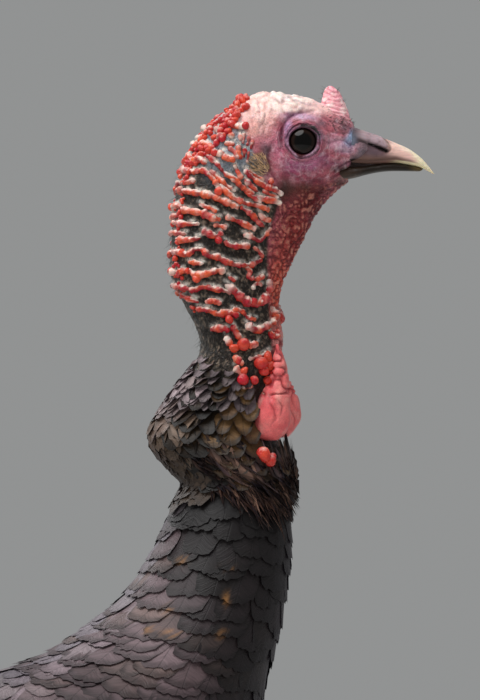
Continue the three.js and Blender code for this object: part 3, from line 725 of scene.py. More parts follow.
def dark_share(points):
    """1 on the dark, stubbled skin of the neck and 0 on the face and the red throat."""
    column, row = grid_square(points)
    return smooth(-2.5, 1.5, np.interp(row, DARK_EDGE[:, 0], DARK_EDGE[:, 1]) - column)


def veins(points, size, seed, wide):
    """1 along the thin lines where smooth noise of that size passes through zero, 0 away from them."""
    return bell(noise(points, size, seed) / wide)


# Where the head's regions start and are whole, as rows or columns of the drawing grid.
THROAT_ROWS, COBBLE_ROWS = (184, 206), (318, 336)
CROWN_ROWS, CROWN_TOP_ROWS, CROWN_COLUMNS = (136, 122), (112, 100), (320, 296)
FOREHEAD_ROWS, PATCHY_ROWS, PALE_ROWS, NET_ROWS, NET_END_ROWS = (138, 124), (118, 150), (188, 172), (128,
    140), (190, 174)
NAPE_PALE_ROWS, NAPE_PALE_COLUMNS, NAPE_TOP_ROWS, FINE_ROWS = (196, 150), (196, 216), (142, 112), (130, 100)
STUBBLE_ROWS = (95, 400)


def regions(points):
    """Shares of the face, the warty throat under the jaw, and its cobbled lower front."""
    column, row = grid_square(points)
    face = 1 - dark_share(points)
    throat = smooth(*THROAT_ROWS, row + 0.35 * (column - 300)) * face
    return face, throat, throat * smooth(*COBBLE_ROWS, row)


def wandering(points):
    """(x, z) of points, shifted by up to 1 mm, so that lines measured from them wander."""
    return points[..., [0, 2]] + 0.5 * noise(points, 5, 9)[..., None] + 0.4 * noise(points, 2.2, 10)[...,
        None]


def near_crease(points, spots):
    """How far points lie from the crease through those places, and its share of its depth, less at both
    ends."""
    away, along = distance_to_line(wandering(points), at(*np.reshape(spots, (-1, 2)).T))
    return away, np.sin(np.clip(along, 0.03, 0.97) * pi) ** 0.4


def head_relief(points):
    """Height in mm over the plain body form: less each crease, depth exp(-(distance / half width)^2), plus
    each swelling, plus wrinkles on the head, warts on the throat, cobbles low on its front and stubble on
    the neck."""
    flat = points[..., [0, 2]]
    height = np.zeros(points.shape[:-1])
    for depth, half, *spots in CREASES:
        away, fade = near_crease(points, spots)
        height -= depth * fade * bell(away / half)
    for u, v, wide, high, rise in SWELLINGS:
        x, z = at(u, v)
        height += rise * np.exp(-(((flat[..., 0] - x) / wide) ** 2 + ((flat[..., 1] - z) / high) ** 2))
    face, throat, cobbles = regions(points)
    column, row = grid_square(points)
    crown = face * smooth(*CROWN_ROWS, row) * smooth(*CROWN_COLUMNS, column)
    height += crown * (0.3 - 0.85 * veins(points * [1.2, 1, 0.8], 4.2, 12, 0.2))
    height += crown * smooth(*CROWN_TOP_ROWS, row) * 0.7 * smooth(-0.1, 0.7, noise(points, 2.8, 13))
    upright = points * [1.0, 1.0, 0.6]
    height += 0.42 * cloud(upright, 3.6, 1) * face * (1 - throat)
    height += (0.1 + 0.12 * throat) * noise(points, 1.3, 2)
    height += throat * (1 - cobbles) * (0.5 - 0.75 * veins(points, 1.9, 3, 0.35) + 0.3
        * noise(points, 5, 4))
    height += cobbles * (1.7 - 2.4 * veins(points * [1, 1, 1.2], 4.4, 5, 0.2) + 0.3 * noise(points, 2.0, 4))
    height += (1 - face) * 0.3 * noise(points, 1.7, 6)
    return height * smooth(BARE_END + 1.2, BARE_END, station_by_height(points))


def station_by_height(points):
    """A stand-in for the station, from the height above the ground: the feathers start below 795 mm."""
    return np.interp(points[..., 2], [770, 800, 1000], [BARE_END + 2, BARE_END, 0])


def stubble_tint(points, column, row):
    """The dark neck skin with its stubble, pale along the upper side of every ridge."""
    speckle = smooth(0.0, 1.1, noise(points, 0.9, 23) + 0.5 * noise(points, 4, 22))
    tint = painted(
        mixed("#1f1a16", "#8b7969", speckle),
        ("#a3aebb", smooth(*NAPE_PALE_ROWS, row) * smooth(*NAPE_PALE_COLUMNS, column) * 0.7),
        ("#c9938a", smooth(*NAPE_TOP_ROWS, row) * 0.7))
    for side in (-1, 1):
        here = (points[..., 1] * side > -2) & (dark_share(points) > 0.02)
        here &= (row > STUBBLE_ROWS[0]) & (row < STUBBLE_ROWS[1])
        spots = points[here][:, [0, 2]]
        pale = np.zeros(len(spots))
        for line, thick in RIDGE_LINES[side]:
            away, along = distance_to_line(spots, line + [0, 0.75 * thick + 0.7])
            pale = np.maximum(pale, bell(away / 0.95) * (0.75 + 0.5 * np.sin(along * 9)))
        pale *= smooth(-0.5, 0.25, cloud(points[here], 3.5, 26))
        tint[here] = mixed(tint[here], "#e6ddd4", np.clip(pale, 0, 0.95))
    return tint


def head_tint(points):
    """The rosy ground, each marking laid over it as a soft oval, the creases darker as painted shade, and
    the dark neck skin behind its edge. The fourth channel is how coarse the skin is."""
    column, row = grid_square(points)
    sway = 2.2 * cloud(points, 6, 24)
    tint = np.broadcast_to(linear("#b5606c"), points.shape)
    for u, v, wide, high, colour, strength in MARKINGS:
        far = ((column + sway - u) / wide) ** 2 + ((row + sway - v) / high) ** 2
        tint = mixed(tint, colour, strength * np.exp(-far ** 1.6 * 0.9))
    face, throat, cobbles = regions(points)
    net = veins(points * [1, 1, 1.4], 3.0, 28, 0.16) * smooth(-0.6, 0.4, cloud(points, 5, 29))
    crown = face * smooth(*FOREHEAD_ROWS, row) * smooth(*CROWN_COLUMNS, column)
    warty = veins(points, 1.9, 3, 0.35)
    tint = painted(
        tint,
        ([0.7, 0.5, 0.65], 0.55 * smooth(0.0, 0.9, cloud(points, 4.5, 21)) * smooth(*PATCHY_ROWS, row)),
        ("#e3cdd6", 0.34 * smooth(0.0, 1.0, cloud(points, 2.2, 25)) * (1 - throat)
            * smooth(*PALE_ROWS, row)),
        ("#ecd9de", 0.24 * net * (1 - throat) * smooth(*NET_ROWS, row) * smooth(*NET_END_ROWS, row)),
        # darker along the crown's grooves, where the relief dips: painted shade
        ([0.72, 0.45, 0.45], 0.55 * crown * veins(points * [1.2, 1, 0.8], 4.2, 12, 0.16)),
        # paler on the tops of the throat's warts, painted highlight, and darker in the grooves between
        # them, painted shade
        ("#e0917c", throat * (1 - cobbles) * 0.62 * smooth(0.25, 0.0, warty)),
        ("#521019", 0.75 * throat * (1 - cobbles) * smooth(0.5, 1.0, warty)),
        ("#ec9d97", 0.7 * cobbles),
        # darker in the grooves between the cobbles: painted shade
        ("#8d3038", 0.85 * cobbles * veins(points * [1, 1, 1.2], 4.4, 5, 0.22)))
    # every crease darkened along its hollow: painted shade
    for depth, half, *spots in CREASES:
        away, fade = near_crease(points, spots)
        tint = mixed(tint, tint * [0.34, 0.2, 0.3], 0.85 * fade * min(depth, 1) * bell(away / half / 0.75))
    tint = mixed(tint, stubble_tint(points, column + sway, row), dark_share(points))
    coarse = np.clip(0.35 + 0.5 * throat - 0.2 * smooth(*FINE_ROWS, row) + 0.3 * dark_share(points), 0, 1)
    return np.concatenate([tint, coarse[..., None]], -1)


# ---- the skin
def lid_height(points):
    """How far out the lids lie: y of the rim on the eyeball, a rolled edge and two shallow grooves."""
    away = np.hypot(points[..., 0] - EYE[0], points[..., 2] - EYE[2]) - EYE_OPENING
    away = away + smooth(0.6, 2.0, away) * (0.55 * noise(points, 5, 33) + 0.3 * noise(points, 2, 34))
    rim = EYE[1] + np.sqrt(EYE_RADIUS**2 - EYE_OPENING**2) + 0.45
    rolled = 0.6 * bell((away - 0.9) / 0.7) - 0.55 * bell((away - 2.1) / 0.45)
    rolled = rolled + 0.35 * bell((away - 3.1) / 0.7) - 0.4 * bell((away - 4.2) / 0.5)
    hood = 0.5 * smooth(0.1, 0.9, (points[..., 2] - EYE[2]) / EYE_OPENING) * smooth(3.0, 0.5, away)
    return rim + rolled + hood - 1.6 * smooth(0.3, -0.5, away), away


def brow_fold(points):
    """Depth in mm of the fold over the eye, which runs on across the lids."""
    depth, half, *spots = CREASES[0]
    away, fade = near_crease(points, spots)
    return depth * fade * bell(away / half)


def with_lids(points, side):
    """Raises the skin round one eye to its lids, over 7 mm from the rim."""
    lid, away = lid_height(points)
    near = smooth(8.0, 1.8, away) * (points[..., 1] * side > 4)
    points = points.copy()
    points[..., 1] += near * (side * (lid - brow_fold(points)) - points[..., 1])
    return points, away


def coat_depth(station):
    """How deep the skin lies under the plumage's outline, in mm."""
    return 4.5 * smooth(BARE_END - 0.3, BARE_END + 1.6, station) + 5 * smooth(16, 21, station)


def skin_at(station, angle):
    """A point of the skin: the body's form less the coat's depth, raised by the relief along its normal.
    Its first ring draws in a little, to meet the bill."""
    step = 0.02
    station, angle = np.broadcast_arrays(station, angle)
    point = body_surface(station, angle)
    ahead = body_surface(station + step, angle) - body_surface(np.maximum(station - step, 0), angle)
    around = body_surface(station, angle + step) - body_surface(station, angle - step)
    normal = unit(np.cross(around, ahead))
    lift = np.where(station < BARE_END + 1.5, head_relief(point), 0) - coat_depth(station)
    lift = lift - 1.6 * smooth(0.4, 0.0, station) ** 2
    return point + normal * lift[..., None]


def skin_rows(low, high, pitches):
    """Station numbers from low to high whose rings lie the given pitches apart in mm, by (station,
    pitch)."""
    scan = np.linspace(low, high, 4001)
    line = catmull_rom(STATIONS, scan)
    back = size_of(np.diff(line[:, 0:2], axis=0))
    front = size_of(np.diff(line[:, 2:4], axis=0))
    pitch = np.interp(scan[1:], *zip(*pitches))
    rows = np.concatenate([[0], np.cumsum(np.maximum(back, front) * 0.8 / pitch)])
    return np.interp(np.linspace(0, rows[-1], int(rows[-1]) + 1), rows, scan)


SHADE_UNDER_FEATHERS = "#1c1613"                 # skin under the coat, painted dark as the shade between the feathers


def body_skin(skin):
    """The skin from bill base to vent: rings 0.6 mm apart on the bare head and neck, sunk behind each eye
    where the lids lie over it, and 8 mm apart on the feathered trunk."""
    station, angle = ring_grid(skin_rows(0, 13.6, [(0, 0.6), (11.2, 0.62), (12, 2.5)]), 264)
    points = skin_at(station, angle)
    for side in (1, -1):
        points, away = with_lids(points, side)
        sunk = smooth(4.0, 2.5, away) * (points[..., 1] * side > 4)
        points[..., 1] -= side * (0.25 * smooth(8, 7, away) + 4 * sunk) * (points[..., 1] * side > 4)
    tint = head_tint(points)
    feathered = smooth(BARE_END - 0.2, BARE_END + 0.8, station)
    tint[..., :3] = mixed(tint[..., :3], SHADE_UNDER_FEATHERS, feathered)
    skin.grid(closed(points), closed(tint), True, (0, 0, 0.6, 1))
    station, angle = ring_grid(skin_rows(12.9, VENT, [(13, 3.0), (18, 8), (VENT, 8)]), 88)
    points = skin_at(station, angle)
    skin.grid(closed(points), linear(SHADE_UNDER_FEATHERS), True, (0.61, 0, 0.25, 1))


def lids(skin, side, patch):
    """The skin round one eye as rings from inside the rim to 7.5 mm outside it, closed beneath the head's
    skin. The opening is round, drawn out at its front, back and lower corners."""
    away = np.concatenate([[-2.4, -1.6, -0.9, -0.5], np.linspace(-0.25, 4.8, 40),
        np.linspace(5.0, 7.6, 14)])
    away, turn = ring_grid(away, 168)
    corner = 1.5 * bell((np.sin((turn + radians(100)) / 2)) / 0.14)
    corner += 0.8 * bell((np.sin((turn - radians(24)) / 2)) / 0.14)
    corner -= 0.5 * np.sin(turn) ** 2
    radius = EYE_OPENING + away + corner * smooth(3.5, 0.0, away)
    flat = np.stack([EYE[0] + radius * np.cos(turn), EYE[2] + radius * np.sin(turn)], -1)
    station, angle = on_profile(flat)
    points = skin_at(station, side * angle)
    points[..., 0], points[..., 2] = flat[..., 0], flat[..., 1]
    lid = lid_height(points)[0]
    near = smooth(8.0, 1.8, away)
    points[..., 1] += near * (side * (lid - brow_fold(points)) - points[..., 1])
    points[..., 1] -= side * (0.9 * smooth(6.7, 7.6, away) + 2.4 * smooth(-0.6, -2.4, away))
    fine = np.sin(away * 6 + 4.5 * noise(points, 3, 31)) * smooth(0.8, 2, away) * smooth(7, 5, away)
    points[..., 1] += side * 0.13 * fine
    tint = head_tint(points)
    skin_tint = tint[..., :3]
    away = away + smooth(0.8, 2.0, away) * (0.7 * noise(points, 5, 33) + 0.35 * noise(points, 1.6, 34))
    ring = mixed("#6a4056", "#bd9ab2", smooth(-0.4, 0.9, cloud(points, 2.0, 30)))
    skin_tint = painted(
        mixed(skin_tint, ring, 0.85 * smooth(3.4, 1.2, away)),
        ("#8a4258", 0.6 * smooth(4.4, 3.0, away) * smooth(2.4, 3.0, away)),
        ("#1c0c10", smooth(0.85, 0.15, away) * 0.97),
        ("#5c2028", 0.8 * smooth(1.4, -0.2, away) * smooth(-0.75, -0.95, np.sin(turn))),
        # darker in the two grooves round the lids: painted shade
        (0.3, bell((away - 2.1) / 0.45) * np.clip(0.55 + 0.5 * noise(points, 4, 35), 0.1, 0.9)),
        (0.5, bell((away - 4.2) / 0.5) * 0.4),
        ("#141014", 0.9 * bell((away - 1.4) / 0.8) * smooth(0.6, 0.85, np.cos(turn - radians(62)))))
    tint[..., :3] = skin_tint
    skin.grid(points[:, ::side], tint[:, ::side], True, patch)


def with_coarse(tint, coarse):
    """The tint with how coarse the skin is as its fourth channel."""
    return np.concatenate([tint, np.full(tint.shape[:-1] + (1,), coarse)], -1)


def snood(skin, patch):
    """The snood: an upright horn of skin over the bill, 9.3 mm thick at its base, leaning back, with
    wrinkles every 2.2 mm and its front foot running down to the bill."""
    t = np.concatenate([np.linspace(-0.5, 0.88, 60), 1 - 0.12 * (1 - np.linspace(0.08, 1, 16)) ** 2])
    t, angle = ring_grid(t, 72)
    up = np.clip(t, 0, 1)
    radius = 8.9 - 6.1 * up ** 1.2 + 0.5 * np.sin(up * pi) ** 2
    radius = np.where(t < 0, 8.9 - 5 * t, radius)
    radius = radius * np.sqrt(np.clip(1 - (np.clip(t - 0.84, 0, 1) / 0.161) ** 2, 0, 1))
    lean = 0.6 * np.sin(up * pi)
    x = SNOOD_BASE[0] + (SNOOD_TIP[0] - SNOOD_BASE[0]) * t + radius * np.cos(angle) + lean
    y = 0.82 * radius * np.sin(angle)
    z = SNOOD_BASE[1] + (SNOOD_TIP[1] - SNOOD_BASE[1]) * t - 6.0 * np.clip(np.cos(angle), -0.5,
        1) * smooth(1, 0, t)
    points = np.stack([x, y, z], -1)
    fold = np.sin((points[..., 2] + 0.25 * points[..., 0] + 1.5 * noise(points, 4, 41)) * 2 * pi / 2.4)
    lift = (0.12 + 0.32 * smooth(0.5, 0.0, t)) * fold * smooth(1.0, 0.6, t) + 0.3 * cloud(points, 2.6, 42)
    points = points + grid_normals(points, True) * lift[..., None]
    # darker in the troughs of the wrinkles: painted shade
    tint = painted(
        mixed("#f2acb4", "#da8894", smooth(-0.2, 0.9, -fold)),
        ("#fbdfda", smooth(-0.1, 0.9, cloud(points, 3.0, 43)) * 0.85),
        ("#e8bcbc", smooth(0.3, -0.2, t) * 0.8))
    skin.grid(closed(points), closed(with_coarse(tint, 0.15)), True, patch)


# [x, z, radius] down each lobe of the throat
RIGHT_LOBE = [(334.4, 806, 0.6), (335.2, 797, 3.0), (334.8, 786.5, 5.4), (333.6, 780, 7.0),
    (332.3, 774.4, 8.4), (331.6, 769, 9.1), (331.1, 764, 8.7), (330.7, 759.4, 6.9), (330.7, 756.6, 4.0),
    (330.7, 755.8, 0.3)]
LEFT_LOBE = [(331.5, 812, 0.6), (334.0, 797, 4.4), (335.2, 786.5, 6.4), (336.4, 780, 8.2),
    (336.8, 774.4, 9.1), (336.9, 769, 9.2), (336.6, 764.5, 8.2), (336.4, 760.5, 6.2), (336.4, 758, 3.8),
    (336.4, 757.3, 0.3)]


LOBE_FOLDS = {-1: [[(269, 395), (269.5, 404), (274, 411), (276, 418), (272, 423)],
    [(278, 401), (282, 407), (281, 415)]],
    1: [[(287, 372), (293, 382), (289, 392)], [(296, 384), (291, 397), (295, 407)],
    [(290, 410), (295, 419), (293, 428)]]}


LOBE_OUT = {-1: 4.0, 1: 0.0}               # how much further out than its plain form each lobe hangs, in mm


def throat_lobe(skin, side, table, patch):
    """A hanging lobe: ovals swelling downwards to a round end, cobbled at its top and parted lower down by
    deep creases into bean-like lumps."""
    stops = [[x, side * (11.5 + LOBE_OUT[side]), z, radius, radius * 0.95] for x, z, radius in table]
    surface = limb_surface(stops)
    t, angle = ring_grid(np.linspace(0, 1, 120), 96)
    points = surface(t, angle)
    outward = unit(points - surface(t, angle + pi))
    crease = np.zeros(points.shape[:-1])
    for fold in LOBE_FOLDS[side]:
        away, along = distance_to_line(points[..., [0, 2]] + 0.6 * noise(points, 6, 58)[..., None],
            at(*np.transpose(fold)))
        crease = np.maximum(crease, bell(away / 0.6) * np.sin(np.clip(along, 0.05, 0.95) * pi) ** 0.5)
    small = veins(points * [1, 1, 1.3], 4.4, 57 + side, 0.2) * smooth(0.42, 0.32, t)
    lift = 0.5 - 1.0 * crease - 1.9 * small + 0.7 * noise(points, 6, 55)
    points = points + outward * (lift * smooth(0, 0.1, t) * smooth(1, 0.93, t))[..., None]
    tint = painted(
        mixed("#e97876", "#d85c5f", smooth(-0.6, 0.6, cloud(points, 7, 56))),
        ("#f3aba2", 0.7 * smooth(0.0, 1.0, cloud(points, 5, 54))),
        # darker in the creases and in the grooves between the cobbles: painted shade
        ("#9c323b", np.clip(0.85 * crease + small, 0, 1) ** 1.3 * 0.85))
    skin.grid(closed(points), closed(with_coarse(tint, 0.12)), True, patch)


# The edge where the skin gives way to horn: heights, and how far forward it reaches, in mm.
COLLAR_EDGE = np.array([(888, 368), (893, 370.5), (897, 371), (900, 373), (903, 377), (907, 381.5),
    (912, 380.5), (916, 379), (921, 378)])


def bill_collar(skin, patch):
    """Skin that runs on over the root of the bill: 0.8 mm thick, wearing thin to nothing at a wandering
    edge."""
    x, angle = ring_grid(np.linspace(364, 385, 84), 192)
    top, half = (np.interp(x, BILL_UPPER[:, 0], BILL_UPPER[:, k]) for k in (1, 3))
    bottom = np.interp(x, BILL_LOWER[:, 0], BILL_LOWER[:, 2])
    c, sn = np.cos(angle), np.sin(angle)
    out = unit(np.stack([np.zeros_like(x), sn, c], -1))
    points = np.stack([x, half * np.sign(sn) * np.abs(sn) ** 0.85, (top + bottom) / 2 + (top - bottom) / 2
        * c], -1)
    edge = np.interp(points[..., 2], *COLLAR_EDGE.T) + 1.1 * cloud(points, 5, 81)
    thick = 0.7 * smooth(edge + 0.2, edge - 4.0, x) - 1.6 * smooth(edge - 0.4, edge + 0.9, x)
    mouth = bell((points[..., 2] - 899.6) / 2.0) * smooth(366, 371, x)
    thick = thick - 1.8 * smooth(371, 366, x) - 2.2 * mouth + 0.45 * head_relief(points)
    tint = head_tint(points)
    tint[..., :3] = mixed(tint[..., :3], "#6e5b62", 0.9 * smooth(edge - 9, edge - 3, x))
    tint[..., :3] = mixed(tint[..., :3], "#271917", smooth(903.5, 901.0, points[..., 2]))
    skin.grid(closed(points + out * thick[..., None]), closed(tint), True, patch)


skin = Gathered()
body_skin(skin)
lids(skin, 1, (0.87, 0.0, 0.12, 0.16))
lids(skin, -1, (0.87, 0.17, 0.12, 0.16))
snood(skin, (0.87, 0.34, 0.12, 0.12))
bill_collar(skin, (0.87, 0.84, 0.12, 0.15))
throat_lobe(skin, -1, RIGHT_LOBE, (0.87, 0.48, 0.12, 0.16))
throat_lobe(skin, 1, LEFT_LOBE, (0.87, 0.66, 0.12, 0.16))
skin.piece("skin", SKIN, ("head", "neck_upper", "snood", "lobe_right", "lobe_left"), weld=True)


# ---- caruncles
def surface_frames(station, angle, side):
    """Points of the bare skin, with their outward normals, on one side of the neck."""
    step = 0.03
    point = skin_at(station, side * angle)
    ahead = body_surface(station + step, side * angle) - body_surface(station - step, side * angle)
    around = body_surface(station, side * angle + step) - body_surface(station, side * angle - step)
    return point, unit(np.cross(around, ahead))


SPECK = 0.003                              # the side of a feather's or bristle's patch on the map


def neck_patch(station, angle, size=SPECK):
    """A place on the unwrap of the head and neck: angle round across, station up."""
    return np.stack(np.broadcast_arrays(0.01 + 0.97 * (angle / (2 * pi) % 1), 0.01 + 0.97
        * np.clip(station / 14, 0, 1), size, size), -1)


def ridge(growths, line, thick, side):
    """One worm-like ridge: a beaded tube along a line on the skin, a third of it sunk, rounded off at both
    ends."""
    run = run_along(line)
    count = max(8, int(run[-1] / 0.5))
    spots = np.linspace(0, run[-1], count)
    flat = np.stack([np.interp(spots, run, line[:, 0]), np.interp(spots, run, line[:, 1])], -1)
    station, angle = on_profile(flat)
    kernel = np.ones(5) / 5
    station[2:-2], angle[2:-2] = np.convolve(station, kernel, "valid"), np.convolve(angle, kernel, "valid")
    middle, normal = surface_frames(station, angle, side)
    ahead = unit(np.gradient(middle, axis=0))
    across = np.cross(normal, ahead)
    near_end = np.minimum(spots, run[-1] - spots) / thick
    round_off = np.sqrt(np.clip(1 - np.clip(1 - near_end, 0, 1) ** 2, 0.02, 1))
    bead = noise(middle, 2.3, 60)
    radius = thick * round_off * (1.05 + 0.5 * bead + 0.25 * noise(middle, 1.1, 64))
    turn = np.arange(14) * 2 * pi / 14
    out = normal[:, None] * np.cos(turn)[:, None] + across[:, None] * np.sin(turn)[:, None]
    points = middle[:, None] + normal[:, None] * (0.3 * radius[:, None, None]) + out * radius[:, None, None]
    points = points + out * (0.35 * noise(points, 1.0, 65))[..., None]
    own = rng.random()
    warm = np.clip(0.5 + 1.1 * cloud(points, 4.5, 61) + 0.7 * (own - 0.5), 0, 1)
    tint = painted(
        mixed("#ad1d2c", "#e2603a", warm),
        ("#ec8a7c", 0.7 * smooth(0.1, 0.9, noise(points, 2.4, 62))),
        ("#7c141d", 0.75 * smooth(0.1, -0.8, bead)[:, None] * np.ones(14)))
    ends = smooth(3.4, 0.8, near_end)[:, None] * smooth(-0.5, 0.6, noise(points, 4, 68)) * (rng.random()
        < 0.75)
    # paler along the ridge's upper side: painted highlight; the pale ends are its own colour
    pale = smooth(0.15, 0.8, 0.7 * out[..., 2] + 0.6 * cloud(points, 1.9, 63)) * 0.9
    tint = mixed(tint, "#f2e6da", np.maximum(pale, ends * 0.9))
    growths.grid(closed(points), closed(tint), True,
        neck_patch(station[count // 2], side * angle[count // 2], 0.02))


def berry(growths, spot, radius, side):
    """A round growth: a lumpy ball a third sunk in the skin."""
    station, angle = on_profile(at(*spot)[None])
    middle, normal = surface_frames(station, angle, side)
    middle = middle + normal * (1.15 * coat_depth(station))[:, None]
    fall, turn = ring_grid(np.linspace(0, pi, 13), 18)
    out = np.stack([np.sin(fall) * np.cos(turn), np.sin(fall) * np.sin(turn), np.cos(fall)], -1)
    points = middle[0] + normal[0] * radius * 0.45 + out * radius
    points = points + out * (0.3 * radius * noise(points, radius * 1.2, 66))[..., None]
    warm = np.clip(rng.random() + 0.4 * noise(points, 2.5, 69), 0, 1)
    tint = mixed("#b81c2c", "#db4f35", warm)
    # paler on its upper side: painted highlight
    tint = mixed(tint, "#f0c0b4", 0.6 * smooth(0.45, 1.1, 0.8 * out[..., 2] + 0.5 * noise(points, 2, 67)))
    growths.grid(points, tint, True, neck_patch(station[0], side * angle[0], 0.01))


def crowded_berries():
    """Small growths crowded over the back of the crown, and a column of them down the nape."""
    row = np.concatenate([rng.uniform(99, 168, 95), rng.uniform(165, 312, 60)])
    nape = np.interp(row, *NAPE_EDGE.T)
    reach = np.interp(row, [98, 110, 122, 135, 150, 168, 170, 312], [4, 14, 24, 26, 20, 12, 9, 8])
    column = nape + 1 + reach * rng.random(len(row)) ** 0.8
    return column, row, rng.uniform(1.0, 2.1, len(row)) * np.interp(row, [160, 180], [1.0, 0.72])


growths = Gathered()
for side in (-1, 1):
    for line, thick in RIDGE_LINES[side]:
        ridge(growths, line, thick, side)
    for *spot, radius in BERRIES:
        wander = np.zeros(2) if side < 0 else rng.normal(0, 1.5, 2)
        berry(growths, np.array(spot) + wander, radius, side)
    for column, row, radius in zip(*crowded_berries()):
        berry(growths, (column, row), radius, side)
growths.piece("caruncles", CARUNCLE, weld=True)


# ---- eyes and bill
def eye(side, name, node):
    """The eyeball: pupil to 4.5 mm, dark brown iris to 6 mm and a darker rim, by distance from its axis."""
    fall, turn = ring_grid(np.linspace(0, pi, 49), 96)
    out = np.stack([np.sin(fall) * np.cos(turn), side * np.cos(fall), np.sin(fall) * np.sin(turn)], -1)
    away = EYE_RADIUS * np.sin(fall)
    tint = mixed("#030202", "#1c0e09", smooth(4.0, 5.0, away))
    tint = mixed(tint, "#060304", smooth(5.6, 6.6, away))
    ball = Gathered()
    points = EYE * [1, side, 1] + out * EYE_RADIUS
    ball.grid(points[:, ::-side], tint[:, ::-side], True)
    ball.piece(name, WET_EYE, (node,), weld=True)


eye(1, "left_eye_ball", "eye_left")
eye(-1, "right_eye_ball", "eye_right")


def bill_grid(rows, sharp, turns, count):
    """Half a bill: rings from edge line to edge line, y = half (|sin|)^0.85, kept fuller towards its
    cutting edge."""
    t = 1 - (1 - np.linspace(0, 1, count)) ** 1.15
    t, angle = ring_grid(t, turns)
    x, top, bottom, half = np.moveaxis(catmull_rom(rows, t * (len(rows) - 1)), -1, 0)
    blunt = np.sqrt(1 - 0.98 * np.clip((t - 0.93) / 0.07, 0, 1) ** 2)
    bottom, half = top - (top - bottom) * blunt, half * blunt
    share = (1 + np.cos(angle)) / 2
    share = share ** sharp if sharp > 1 else 1 - (1 - share) ** (1 / sharp)
    y = half * np.sign(np.sin(angle)) * np.abs(np.sin(angle)) ** 0.85
    return np.stack([x, y, bottom + (top - bottom) * share], -1), angle


NOSTRIL = at(*np.transpose([(369, 144), (375, 146.2), (381, 148.8), (386, 151)]))
FLAP_END = 392.4                           # where the flap over the nostril ends in a rounded front


def upper_bill():
    """The upper half with its nostril slit under a swollen flap."""
    upper, angle = bill_grid(BILL_UPPER, 0.8, 96, 150)
    x, z = upper[..., 0], upper[..., 2]
    away, along = distance_to_line(upper[..., [0, 2]], NOSTRIL)
    slope = (NOSTRIL[-1, 1] - NOSTRIL[0, 1]) / (NOSTRIL[-1, 0] - NOSTRIL[0, 0])
    over = z - NOSTRIL[0, 1] - slope * (x - NOSTRIL[0, 0])
    slit = bell(away / (0.45 + 0.55 * along))
    end = FLAP_END - 0.22 * (over - 2.4) ** 2 - x
    flap = smooth(-0.2, 0.8, over) * smooth(-0.4, 1.4, end) * smooth(374, 380, x)
    dome = flap * (1.15 - 0.045 * (over - 2.2) ** 2)
    groove = bell((end + 0.9) / 0.7) * smooth(-1.5, 0.5, over) * smooth(7, 5, over)
    hollow = np.exp(-((x - 383.0) / 6.0) ** 2 - ((over + 1.3) / 1.3) ** 2)
    lip = bell((z - np.interp(x, BILL_UPPER[:, 0], BILL_UPPER[:, 2]) - 2.7) / 0.55) * smooth(404, 390, x)
    lift = 0.95 * dome - 2.6 * slit - 0.6 * groove - 0.7 * hollow - 0.45 * lip + 0.16 * cloud(upper, 3.0,
        71)
    upper[..., 1] += np.sign(upper[..., 1]) * lift * smooth(0, 2.0, np.abs(upper[..., 1]))
    upper[..., 2] += 0.5 * flap * smooth(0.55, 0.95, np.cos(angle))
    horn = Gathered()
    tint = upper_bill_tint(upper, flap, slit, 0.9 * groove + 0.6 * lip)
    horn.grid(closed(upper), closed(tint), True)
    horn.piece("upper_bill", HORN, ("bill_upper",), weld=True)


def upper_bill_tint(points, flap, slit, shaded_hollows):
    """Slate at the root, flesh and then ivory towards the tip, with painted shade darkening the slit and
    the hollows.
    """
    x, z = points[..., 0], points[..., 2]
    low = np.interp(x, BILL_UPPER[:, 0], BILL_UPPER[:, 2])
    top = np.interp(x, BILL_UPPER[:, 0], BILL_UPPER[:, 1])
    share = np.clip((z - low) / (top - low), 0, 1)
    tint = painted(
        mixed("#6b555d", "#8c6a69", smooth(385, 395, x)),
        ("#f6c9bd", smooth(390, 398, x + 3 * share) * smooth(0.15, 0.5, share)),
        ("#f6e2cc", smooth(0.6, 0.98, share) * smooth(390, 404, x)),
        ("#fff0cc", smooth(405, 412, x + 4 * share)),
        ("#7c5b50", smooth(0.42, 0.2, share) * smooth(410, 396, x) * 0.9),
        ("#faeac0", smooth(2.3, 1.2, z - low) * smooth(391, 401, x)),
        ("#5c443b", smooth(3.0, 0.8, z - low) * smooth(394, 384, x) * 0.85),
        ("#8f7a83", flap * 0.75),
        ("#3f2f30", 0.75 * smooth(386, 378, x) * smooth(0.35, 0.7, share)),
        ("#c2a9ae", flap * smooth(0.6, 0.95, share) * 0.6),
        ("#7f94ab", smooth(378, 371, x) * bell((z - 911.5) / 4.5) * 0.7),
        ([0.5, 0.45, 0.45], 0.8 * smooth(0.2, 1.0, cloud(points, 2.6, 72)) * smooth(404, 388, x)),
        # painted shade in the nostril slit and the hollows of the groove and lip
        ("#120c0c", np.clip(1.3 * slit, 0, 1)),
        (0.4, np.clip(shaded_hollows, 0, 1)))
    return tint


def lower_bill():
    """The darker lower half, which closes inside the upper one."""
    lower = bill_grid(BILL_LOWER, 1.25, 80, 110)[0]
    x = lower[..., 0]
    lower[..., 1] += np.sign(lower[..., 1]) * 0.14 * noise(lower, 2.0, 73)
    tint = painted(
        mixed("#3b2b22", "#1c130b", smooth(370, 381, x)),
        ("#5a4a2c", smooth(401, 409, x)),
        ("#86756c", 0.5 * smooth(0.0, 1.0, cloud(lower, 3, 74)) * smooth(382, 372, x)))
    horn = Gathered()
    horn.grid(closed(lower), closed(tint), True)
    horn.piece("lower_bill", HORN, ("bill_lower",), weld=True)


upper_bill()
lower_bill()


# ---- bristles
def speck(u, v):
    """A small patch of the map at each place."""
    return np.stack([u, v, np.full(len(u), SPECK), np.full(len(u), SPECK)], -1)


